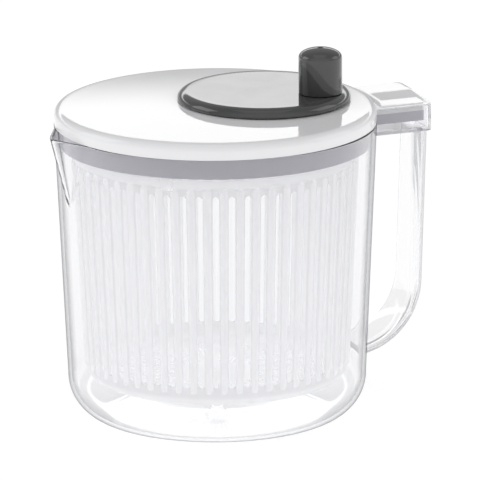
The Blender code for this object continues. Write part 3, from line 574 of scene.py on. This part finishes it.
def finished(obj, body, slot, *nodes):
    """Gives a piece its finish, its body and the CAD nodes that it stands for."""
    obj.data.materials.clear()
    obj.data.materials.append(FINISHES[slot])
    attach(obj, body)
    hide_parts(*nodes)
    return obj


# Jug


def jug_radius(z):
    """Outer radius of the jug's straight wall."""
    return FOOT_R + (RIM_R - FOOT_R) * (z - BASE_FILLET) / (RIM_Z - BASE_FILLET)


def spout_reach(angle, z):
    """How far the spout stands out of the round wall: two nearly flat cheeks that meet in a soft ridge."""
    share = 1 - (RIM_Z - z) / SPOUT_DEPTH
    half = SPOUT_HALF_ANGLE * share
    off = sqrt(angle * angle + RIDGE_SOFTNESS**2) - RIDGE_SOFTNESS * 0.4
    if share <= 0 or off >= half:
        return 0.0
    wall = jug_radius(z)
    tip = wall + (SPOUT_R - RIM_R) * share
    slope = (tip - wall * cos(half)) / (wall * sin(half))
    return tip / (cos(off) + sin(off) * slope) - wall


def jug_angles():
    """Even columns, closer together across the spout."""
    plain = [a for a in steps_between(-pi, pi, ROUND)[:-1] if abs(a) < pi - 2 * SPOUT_HALF_ANGLE]
    edge = pi - abs(plain[0])
    near = [pi + a for a in steps_between(-edge, edge, SPOUT_COLUMNS)[1:-1]]
    return plain + near


def bowl():
    """The jug's bowl with the pivot post, its rounded rim and its spout."""
    heights = steps_between(RIM_Z - SPOUT_DEPTH, RIM_Z, SPOUT_ROWS)
    lip = WALL / 2
    post = [(0, POST_TOP_Z)] + arc(POST_R - POST_ROUND, POST_TOP_Z - POST_ROUND, POST_ROUND, 90, 0, 4)
    post_foot_z = WALL + POST_FOOT_FILLET
    post += [(POST_R, post_foot_z)]
    post += arc(POST_R + POST_FOOT_FILLET, post_foot_z, POST_FOOT_FILLET, 200, 270, 4)
    inside = arc(FOOT_R - BASE_FILLET, BASE_FILLET, BASE_FILLET - WALL, -90, 2, 20)
    inside += [(jug_radius(z) - WALL, z) for z in steps_between(STRAIGHT_Z, heights[0], 6)]
    inside += [(jug_radius(z) - WALL, z) for z in heights[1:-1]]
    rim = arc(RIM_R - lip, RIM_Z - lip, lip, 180, 0, 8)
    outside = [(jug_radius(z), z) for z in reversed(heights[:-1])]
    outside += [(jug_radius(z), z) for z in steps_between(heights[0], STRAIGHT_Z, 6)[1:]]
    outside += arc(FOOT_R - BASE_FILLET, BASE_FILLET, BASE_FILLET, 2, -90, 22)
    made = turned("clear_jug", post + inside + rim + outside + [(0, 0)], angles=jug_angles())
    for vertex in made.data.vertices:
        x, y, z = vertex.co
        radius = hypot(x, y)
        if radius > FOOT_R / 2:
            share = 1 + spout_reach(atan2(y, -x), min(z, RIM_Z)) / radius
            vertex.co.x *= share
            vertex.co.y *= share
    return made


def handle_strap():
    """The strap that drops from the handle box and bends in under it to the jug's wall."""
    inner_r = BEND_R - STRAP_THICKNESS
    outer_bend = arc(BEND_X, BEND_Z, BEND_R, 0, -84, 36)
    inner_bend = arc(BEND_X, BEND_Z, inner_r, -84, 0, 36)
    top = BOX_BOTTOM_Z + 1 * MM
    outline = [(HANDLE_X - STRAP_THICKNESS, top), *reversed(inner_bend)]
    outline += [*reversed(outer_bend), (HANDLE_X, top)]
    strap = prism("strap", outline, -STRAP_WIDTH / 2, STRAP_WIDTH / 2, axis="Y")
    bevel(strap, STRAP_EDGE, 4)
    settle(strap)
    return strap


def clear_jug():
    """The bowl with its handle box and strap, as one clear moulding."""
    made = bowl()
    tray_outline = rounded_rectangle((BOX_START_X, -BOX_HALF), (HANDLE_X, BOX_HALF), BOX_CORNER)
    tray = prism("tray", tray_outline, BOX_BOTTOM_Z, BOX_TOP_Z)
    bevel(tray, 0.5 * MM, 3, 60)
    settle(tray)
    inner = BOX_HALF - BOX_WALL
    hollow_corners = (HOLLOW_START_X, -inner), (HANDLE_X - BOX_WALL, inner)
    hollow_outline = rounded_rectangle(*hollow_corners, BOX_INNER_CORNER)
    hollow = prism("hollow", hollow_outline, BOX_BOTTOM_Z + BOX_WALL, BOX_TOP_Z + 5 * MM)
    mid = WALL / 2
    combine(hollow, "DIFFERENCE", drum("wall_cover", RIM_R - mid, COVER_LOW_Z, RIM_Z))
    combine(tray, "DIFFERENCE", hollow)
    combine(tray, "UNION", handle_strap())
    core_profile = [(0, RIM_Z), (RIM_R - mid, RIM_Z), (FOOT_R - mid, BASE_FILLET), (0, BASE_FILLET)]
    clearance = drum("clearance", RIM_R + LID_ROOM, RIM_Z - 2 * LID_ROOM, RIM_Z + 30 * MM)
    combine(tray, "DIFFERENCE", turned("core", core_profile), clearance)
    combine(made, "UNION", tray)
    smooth(made)
    return finished(made, "jug", "clear_plastic", "jug")


# Basket


def basket_outside(z):
    """Outer radius of the basket's tapered wall."""
    low = BASKET_FLOOR_Z + BASKET_FILLET
    return BASKET_LOW_R + (BASKET_TOP_R - BASKET_LOW_R) * (z - low) / (BASKET_RIM_Z - low)


def basket_rows():
    """Pairs of outer and inner (radius, height) points, from the hub over the floor and up to the rim."""
    low = BASKET_FLOOR_Z + BASKET_FILLET
    centre = BASKET_LOW_R - BASKET_FILLET
    inner_fillet = BASKET_FILLET - BASKET_WALL
    floor_radii = [HUB_R + 0.3 * MM, 20 * MM, *steps_between(*FLOOR_SLOT_R, 4)]
    rows = [((r, BASKET_FLOOR_Z), (r, BASKET_FLOOR_Z + BASKET_WALL)) for r in floor_radii]
    turns = arc(centre, low, BASKET_FILLET, -90, 0, 8), arc(centre, low, inner_fillet, -90, 0, 8)
    rows += list(zip(*turns))
    band = BASKET_RIM_Z - BASKET_BAND
    arch = [SLOT_TOP_Z - 3 * MM, SLOT_TOP_Z - 1.5 * MM, SLOT_TOP_Z, SLOT_TOP_Z + 1.2 * MM]
    heights = [SLOT_BOTTOM_Z - 1.5 * MM, SLOT_BOTTOM_Z, SLOT_BOTTOM_Z + 2 * MM]
    heights += steps_between(SLOT_BOTTOM_Z + 4 * MM, SLOT_TOP_Z - 6 * MM, 14) + arch
    heights += steps_between(SLOT_TOP_Z + 2 * MM, BASKET_RIM_Z - NOTCH_DEPTH, 3)[1:]
    heights.append(band - 1.2 * MM)
    rows += [((basket_outside(z), z), (basket_outside(z) - BASKET_WALL, z)) for z in heights]
    inner = BASKET_TOP_R - BASKET_WALL
    rows.append(((BASKET_RIM_R - 0.4 * MM, band - 0.3 * MM), (inner, band)))
    rows.append(((BASKET_RIM_R, band + 0.3 * MM), (inner, band + 0.3 * MM)))
    rows.append(((BASKET_RIM_R, BASKET_RIM_Z - 0.5 * MM), (inner, BASKET_RIM_Z - 0.5 * MM)))
    rows.append(((BASKET_RIM_R - 0.5 * MM, BASKET_RIM_Z), (inner + 0.5 * MM, BASKET_RIM_Z)))
    return rows


def eased(share):
    share = min(1.0, max(0.0, share))
    return share * share * (3 - 2 * share)


def column_turn(column, radius, climb):
    """A column's angle: its slot's edges stay parallel on the floor (climb 0) and on the wall (climb 1)."""
    pitch = 2 * pi / SLOTS
    half = COLUMNS // 2
    number, step = divmod(column, COLUMNS)
    off = step - half
    edge = SLOT_WIDTH / 2 / radius
    side = 1 if off > 0 else -1
    if abs(off) <= 2:
        wall_turn = edge * off / 2
    else:
        wall_turn = side * (edge + (pitch / 2 - edge) * (abs(off) - 2) / (half - 2))
    wall = number * pitch + wall_turn
    number, step = divmod(column + half, 2 * COLUMNS)
    off = step - COLUMNS
    edge = FLOOR_SLOT_WIDTH / 2 / radius
    side = 1 if off > 0 else -1
    if abs(off) <= 2:
        floor_turn = edge * off / 2
    else:
        floor_turn = side * (edge + (pitch - edge) * (abs(off) - 2) / (COLUMNS - 2))
    floor = number * 2 * pitch + floor_turn + pitch / 2
    return SLOT_ANGLE + floor * (1 - climb) + wall * climb


def flute(column, z):
    """How far a rib stands out between two slots: a rounded flute with an arched top."""
    off = abs(column % COLUMNS - COLUMNS // 2)
    across = (off - 2) / (COLUMNS // 2 - 2)
    if across <= 0 or z < BASKET_FLOOR_Z + BASKET_FILLET:
        return 0.0
    top = FLUTE_TOP_Z - FLUTE_ARCH * (1 - across) ** 2
    ends = eased((top - z) / (1.6 * MM)) * eased((z - SLOT_BOTTOM_Z + 6 * MM) / (5 * MM))
    return FLUTE_RISE * sin(across * pi / 2) * ends


def slot_edge(column, z):
    """How far a point moves up or down to give its slot round ends; this fades out away from the ends."""
    off = abs(column % COLUMNS - COLUMNS // 2)
    if off > 2:
        return 0.0
    sag = SLOT_WIDTH / 2 * (1 - sqrt(1 - (off / 2) ** 2 * 0.96))
    if z > SLOT_TOP_Z - 6 * MM:
        inwards = eased((z - SLOT_TOP_Z + 6 * MM) / (6 * MM))
        return -sag * inwards * eased((SLOT_TOP_Z + 2.4 * MM - z) / (2.4 * MM))
    if z < SLOT_BOTTOM_Z + 8 * MM:
        inwards = eased((SLOT_BOTTOM_Z + 8 * MM - z) / (8 * MM))
        return sag * inwards * eased((z - SLOT_BOTTOM_Z + 4 * MM) / (4 * MM))
    return 0.0


def basket_hole(column, low, high):
    """Whether the cell from this column to the next, between two rows, is open."""
    (low_r, low_z), (high_r, high_z) = low, high
    step = column % COLUMNS - COLUMNS // 2
    small = 0.01 * MM
    if low_z >= BASKET_RIM_Z - NOTCH_DEPTH - small:
        return any((column - middle + 4) % (SLOTS * COLUMNS) < 8 for middle in NOTCH_COLUMNS)
    if low_z >= SLOT_BOTTOM_Z - small and high_z <= SLOT_TOP_Z + small:
        return -2 <= step < 2
    slot_start, slot_end = FLOOR_SLOT_R[0] - small, FLOOR_SLOT_R[1] + small
    if high_z <= BASKET_FLOOR_Z + small and low_r >= slot_start and high_r <= slot_end:
        return -2 <= (column + COLUMNS // 2) % (2 * COLUMNS) - COLUMNS < 2
    return False


def add_hub(bm, outer, inner):
    """Closes the middle of the floor, with the socket ring that stands round the pivot cup."""
    bottom = BASKET_LOW.z
    ring = [(HUB_R, bottom + 0.4 * MM), (HUB_R - 0.3 * MM, bottom), (HUB_BORE_R + 0.2 * MM, bottom)]
    ring += [(HUB_BORE_R, bottom + 0.3 * MM), (HUB_BORE_R, BASKET_FLOOR_Z)]
    turns = [atan2(v.co.y, v.co.x) for v in outer]
    for radius, height in ring:
        row = [bm.verts.new((radius * cos(a), radius * sin(a), height)) for a in turns]
        for i, vertex in enumerate(row):
            bm.faces.new((outer[i - 1], outer[i], vertex, row[i - 1]))
        outer = row
    for skin, height in ((outer, BASKET_FLOOR_Z), (inner, BASKET_FLOOR_Z + BASKET_WALL)):
        centre = bm.verts.new((0, 0, height))
        for i, vertex in enumerate(skin):
            bm.faces.new((skin[i - 1], vertex, centre))


def milky_basket():
    """The basket: a slotted floor, fluted ribs between the wall's slots, and a rim band with notches."""
    rows = basket_rows()
    count = SLOTS * COLUMNS
    bm = bmesh.new()
    skins = [], []
    for outer, inner in rows:
        climb = eased((outer[0] - FLOOR_SLOT_R[1]) / (BASKET_LOW_R - FLOOR_SLOT_R[1]))
        for skin, (radius, height), stands in ((skins[0], outer, 1), (skins[1], inner, 0)):
            ring = []
            for column in range(count):
                turn = column_turn(column, radius, climb)
                reach = radius + flute(column, height) * stands
                lift = slot_edge(column, height)
                ring.append(bm.verts.new((reach * cos(turn), reach * sin(turn), height + lift)))
            skin.append(ring)

    def solid(row, column):
        inside = 0 <= row < len(rows) - 1
        return inside and not basket_hole(column % count, rows[row][0], rows[row + 1][0])

    for row in range(len(rows) - 1):
        for column in range(count):
            if not solid(row, column):
                continue
            after = (column + 1) % count
            for skin in skins:
                low, high = skin[row], skin[row + 1]
                bm.faces.new((low[column], low[after], high[after], high[column]))
            for there, a, b in (
                (solid(row - 1, column), (row, column), (row, after)),
                (solid(row + 1, column), (row + 1, column), (row + 1, after)),
                (solid(row, column - 1), (row, column), (row + 1, column)),
                (solid(row, column + 1), (row, after), (row + 1, after)),
            ):
                middle = row == 0 and a[0] == b[0] == 0
                if not there and not middle:
                    outside = [skins[0][r][c] for r, c in (a, b)]
                    inside = [skins[1][r][c] for r, c in (b, a)]
                    bm.faces.new(outside + inside)
    add_hub(bm, skins[0][0], skins[1][0])
    loose = [v for v in bm.verts if not v.link_faces]
    bmesh.ops.delete(bm, geom=loose, context="VERTS")
    made = from_bmesh("milky_basket", bm)
    smooth(made, 40)
    return finished(made, "basket", "milky_plastic", "basket")


# Lid


def lid_shell():
    """The lid with its crowned top, rounded shoulder, skirt, the disc's well and the tab over the handle."""
    edge_r = RIM_R - LID_SHOULDER
    rise = LID_TOP_Z - LID_EDGE_Z
    crown = [(r, LID_EDGE_Z + rise * (1 - (r / edge_r) ** 2)) for r in steps_between(0, CROWN_R, 16)]
    outside = crown + arc(edge_r, LID_EDGE_Z - LID_SHOULDER, LID_SHOULDER, 90, 0, 14)
    channel_r = RIM_R - LID_BAND
    band = [(RIM_R, LID_BOTTOM_Z), (channel_r, LID_BOTTOM_Z), (channel_r, CHANNEL_TOP_Z)]
    skirt = [(SKIRT_R, CHANNEL_TOP_Z), (SKIRT_R - 0.5 * MM, SKIRT_BOTTOM_Z)]
    skirt += [(SKIRT_R - 2.2 * MM, SKIRT_BOTTOM_Z)]
    inside = [(SKIRT_R - 1.8 * MM, LID_EDGE_Z - 3.4 * MM), (SKIRT_R - 3.6 * MM, LID_EDGE_Z - LID_WALL)]
    inside += [(0, LID_TOP_Z - LID_WALL)]
    shell = turned("white_lid", outside + softened(band + skirt + inside, 0.5 * MM))
    combine(shell, "UNION", lid_tab())
    combine(shell, "DIFFERENCE", drum("well", WELL_R, WELL_LOW_Z, ABOVE_LID_Z, CRANK_X))
    combine(shell, "UNION", tab_skirt())
    smooth(shell)
    finished(shell, "lid", "white_plastic", "lid_shell")
    shell.data.materials[0] = lid_plastic_skirt_shade()
    return shell


def lid_tab():
    """The plate over the handle box.

    Its top sweeps up into the lid's shoulder, and falls away from a crease towards the -Y side.
    """
    half = BOX_HALF
    edge = [half - 0.2 * MM - BOX_CORNER * (1 - sin(a)) for a in steps_between(0, pi / 2, 8)]
    sides = [-y for y in reversed(edge)] + steps_between(-edge[0], edge[0], 10)[1:-1] + edge
    count = 24
    bm = bmesh.new()
    skins = [], []
    for y in sides:
        start = sqrt((RIM_R - 1.2 * MM) ** 2 - y * y)
        corner = max(0.0, abs(y) - (half - BOX_CORNER))
        end = HANDLE_X - BOX_CORNER + sqrt(max(0.0, BOX_CORNER**2 - corner**2))
        tops, unders = [], []
        for i in range(count + 1):
            x = start + (end - start) * (i / count) ** TAB_CURVE
            beyond = hypot(x, y) - RIM_R
            blend = max(0.0, 1 - (beyond + 1.5 * MM) / TAB_BLEND_REACH)
            near = max(0.0, (TAB_CREASE_Y - y) / (half + TAB_CREASE_Y))
            fall = TAB_FALL * (1 - (1 - near) ** TAB_CURVE) * min(1.0, (x - start) / TAB_FALL_START)
            tops.append(bm.verts.new((x, y, TAB_TOP_Z - fall + TAB_BLEND_RISE * blend**2)))
            unders.append(bm.verts.new((x, y, TAB_UNDER_Z)))
        skins[0].append(tops)
        skins[1].append(unders)
    for skin in skins:
        for a, b in zip(skin, skin[1:]):
            for i in range(count):
                bm.faces.new((a[i], a[i + 1], b[i + 1], b[i]))
    tops, unders = skins
    for k in range(len(sides) - 1):
        for i in (0, count):
            bm.faces.new((tops[k][i], tops[k + 1][i], unders[k + 1][i], unders[k][i]))
    for k in (0, len(sides) - 1):
        for i in range(count):
            bm.faces.new((tops[k][i], tops[k][i + 1], unders[k][i + 1], unders[k][i]))
    made = from_bmesh("tab", bm)
    bevel(made, 0.4 * MM, 3, 60)
    settle(made)
    return made


def tab_skirt():
    """The rib that hangs from the tab inside the clear box."""
    outer = BOX_HALF - TAB_SKIRT_GAP
    inner = outer - TAB_SKIRT_WALL
    end = HANDLE_X - TAB_SKIRT_END_GAP
    start = TAB_SKIRT_START_X
    outline = rounded_rectangle((start, -outer), (end, outer), TAB_SKIRT_CORNER)
    ring = prism("skirt", outline, TAB_SKIRT_Z, TAB_TOP_Z - 1 * MM)
    hollow_corners = (start - 10 * MM, -inner), (end - TAB_SKIRT_WALL, inner)
    hollow_outline = rounded_rectangle(*hollow_corners, TAB_SKIRT_CORNER - 1 * MM)
    hollow = prism("skirt_hollow", hollow_outline, TAB_SKIRT_Z - 5 * MM, TAB_UNDER_Z)
    jug_room = drum("jug_room", RIM_R + 0.5 * MM, RIM_Z - 30 * MM, RIM_Z)
    core = drum("core", RIM_R - 1 * MM, RIM_Z - 1 * MM, ABOVE_LID_Z)
    combine(ring, "DIFFERENCE", hollow, jug_room, core)
    return ring


# Crank disc and knob


def crank_disc():
    """The flat-topped disc with its rolled rim, the bored post that it turns on and the knob's seat."""
    under_z = DISC_TOP_Z - 1.4 * MM - DISC_WALL
    flat = DISC_FLAT_R
    outside = [(0, DISC_TOP_Z), (flat - 20 * MM, DISC_TOP_Z), (flat - 3 * MM, DISC_TOP_Z)]
    foot = DISC_BOTTOM_Z + 0.9 * MM
    tall = DISC_TOP_Z - foot
    wide = DISC_R - flat - 0.5 * MM
    turns = [radians(a) for a in range(90, -1, -6)]
    outside += [(flat + 0.5 * MM + wide * cos(a), foot + tall * sin(a)) for a in turns]
    outside += [(DISC_R, DISC_BOTTOM_Z + 0.3 * MM), (DISC_R - 0.3 * MM, DISC_BOTTOM_Z)]
    low_tall = under_z - foot
    low_wide = DISC_ROLL - DISC_WALL
    inside = [(DISC_R - DISC_WALL, DISC_BOTTOM_Z)]
    inside += [(DISC_R - DISC_ROLL + low_wide * cos(a), foot + low_tall * sin(a)) for a in reversed(turns)]
    post = [(CRANK_POST_R, under_z), (CRANK_POST_R, DISC_LOW.z), (SCREW_BORE_R, DISC_LOW.z)]
    post += [(SCREW_BORE_R, SCREW_BORE_TOP_Z), (0, SCREW_BORE_TOP_Z)]
    made = turned("dark_disc", outside + inside + post, x=CRANK_X)
    seat = drum("washer_seat", WASHER_SEAT_R, *WASHER_SEAT_Z, KNOB_X, KNOB_Y, columns=48)
    combine(made, "DIFFERENCE", seat)
    smooth(made)
    return finished(made, "crank", "dark_grey_plastic", "crank_disc")


def crank_knob():
    """The turning knob: a straight barrel with a dimple in its domed top, hollow round a hub for its pin."""
    top, bottom = KNOB_HIGH.z, KNOB_LOW.z
    side_top = top - KNOB_DOME
    dome = [(KNOB_R * cos(a), side_top + KNOB_DOME * sin(a) ** 0.9) for a in steps_between(pi / 2, 0, 18)]
    dimple = [(0, top - 0.7 * MM), (1.5 * MM, top - 0.6 * MM), (1.9 * MM, top - 0.05 * MM)]
    outside = dimple + dome[2:]
    foot = [(KNOB_R, bottom + 0.5 * MM), (KNOB_R - 0.15 * MM, bottom + 0.15 * MM)]
    foot.append((KNOB_R - 0.5 * MM, bottom))
    ceiling = side_top - KNOB_CEILING_DEPTH
    inside = [(KNOB_R - KNOB_WALL, bottom), (KNOB_R - KNOB_WALL - 0.4 * MM, ceiling), (KNOB_HUB_R, ceiling)]
    inside += [(KNOB_HUB_R, bottom), (PIN_BORE_R, bottom)]
    inside += [(PIN_BORE_R, bottom + PIN_BORE_DEPTH), (0, bottom + PIN_BORE_DEPTH)]
    made = turned("dark_knob", outside + foot + inside, KNOB_X, KNOB_Y, columns=96)
    smooth(made)
    return finished(made, "knob", "dark_grey_plastic", "knob")


# CAD nodes that keep their shape


def finish_cad_nodes(replaced):
    """Gives every CAD node that still shows its finish, and softens its edges."""
    for entry in frame["record"]["subparts"]:
        name, slot = entry["node"], entry["material_slot"]
        if name in replaced:
            continue
        node = frame["nodes"][name]
        node.data.materials.clear()
        node.data.materials.append(FINISHES[slot])
        weld = node.modifiers.new("Weld", "WELD")
        weld.merge_threshold = 0.001 * MM
        bevel(node, 0.15 * MM, 2, 35)


# Studio


def direction(turn, rise):
    """Unit vector from the object towards a place at this turn from -Y and this rise above the floor."""
    return Vector((sin(turn) * cos(rise), -cos(turn) * cos(rise), sin(rise)))


def floor():
    """A wide pale floor that glows a little, so that it stays light up to the horizon."""
    bm = bmesh.new()
    bmesh.ops.create_circle(bm, cap_ends=True, radius=FLOOR_R, segments=96)
    obj = from_bmesh("floor", bm)
    finish = Finish("floor_paint", (0.4, 0.4, 0.4), 0.7)
    finish.colours(finish.noise(3, 2), (0.39, 0.39, 0.39), (0.41, 0.41, 0.41))
    finish.shader.inputs["Specular IOR Level"].default_value = 0.1
    finish.shader.inputs["Emission Color"].default_value = (1, 1, 1, 1)
    finish.shader.inputs["Emission Strength"].default_value = FLOOR_GLOW
    obj.data.materials.append(finish.material)


def softbox(name, turn, rise, glow):
    """A square lamp whose face glows as bright as glow white cards."""
    light = bpy.data.lights.new(name, "AREA")
    light.size = SOFTBOX_SIZE
    light.energy = glow * pi * SOFTBOX_SIZE**2
    obj = bpy.data.objects.new(name, light)
    bpy.context.scene.collection.objects.link(obj)
    place = direction(turn, rise) * SOFTBOX_DISTANCE
    obj.location = place
    obj.rotation_euler = (-place).to_track_quat("-Z", "Y").to_euler()


def room():
    """A pale room, lighter on the camera's side, with a bright strip low on the wall behind the object."""
    world = bpy.data.worlds.new("room")
    bpy.context.scene.world = world
    world.use_nodes = True
    nodes, links = world.node_tree.nodes, world.node_tree.links
    place = nodes.new("ShaderNodeTexCoord").outputs["Generated"]

    def along(vector, start, end, low, high):
        """Goes from low to high as the direction turns towards a vector."""
        dot = nodes.new("ShaderNodeVectorMath")
        dot.operation = "DOT_PRODUCT"
        links.new(place, dot.inputs[0])
        dot.inputs[1].default_value = vector
        span = nodes.new("ShaderNodeMapRange")
        span.interpolation_type = "SMOOTHSTEP"
        for name, value in (("From Min", start), ("From Max", end), ("To Min", low), ("To Max", high)):
            span.inputs[name].default_value = value
        links.new(dot.outputs["Value"], span.inputs["Value"])
        return span.outputs["Result"]

    def joined(operation, first, second):
        made = nodes.new("ShaderNodeMath")
        made.operation = operation
        links.new(first, made.inputs[0])
        links.new(second, made.inputs[1])
        return made.outputs[0]

    up = (0, 0, 1)
    behind = along(direction(CAMERA_TURN + pi, 0), *STRIP_SIDES, 0, STRIP_GLOW)
    above = along(up, *(sin(radians(a)) for a in STRIP_START), 0, 1)
    below = along(up, *(sin(radians(a)) for a in STRIP_END), 1, 0)
    strip = joined("MULTIPLY", behind, joined("MULTIPLY", above, below))
    walls = along(direction(CAMERA_TURN, FRONT_RISE), *FRONT_SIDES, WALL_GLOW, FRONT_GLOW)
    links.new(joined("ADD", strip, walls), nodes["Background"].inputs["Strength"])
    nodes["Background"].inputs["Color"].default_value = (1, 1, 1, 1)


def camera():
    """A camera that looks at the middle of the object."""
    data = bpy.data.cameras.new("camera")
    data.lens = LENS_MM
    data.sensor_width = SENSOR_MM
    data.clip_end = 100
    obj = bpy.data.objects.new("camera", data)
    bpy.context.scene.collection.objects.link(obj)
    towards = direction(CAMERA_TURN, CAMERA_RISE)
    right = Vector((cos(CAMERA_TURN), sin(CAMERA_TURN), 0))
    aim = right * AIM_RIGHT + Vector((0, 0, AIM_Z))
    turn = towards.to_track_quat("Z", "Y").to_matrix() @ Matrix.Rotation(CAMERA_ROLL, 3, "Z")
    obj.matrix_world = Matrix.Translation(aim + towards * CAMERA_DISTANCE) @ turn.to_4x4()
    bpy.context.scene.camera = obj


camera()
room()
floor()
for box_name, box_turn, box_rise, box_glow in SOFTBOXES:
    softbox(box_name, CAMERA_TURN + radians(box_turn), radians(box_rise), box_glow)
bpy.context.scene.view_settings.view_transform = "Standard"
bpy.context.scene.cycles.max_bounces = LIGHT_BOUNCES
bpy.context.scene.cycles.transmission_bounces = LIGHT_BOUNCES
bpy.context.scene.cycles.glossy_bounces = LIGHT_BOUNCES

clear_jug()
milky_basket()
lid_shell()
crank_disc()
crank_knob()
finish_cad_nodes({"jug", "basket", "lid_shell", "crank_disc", "knob"})
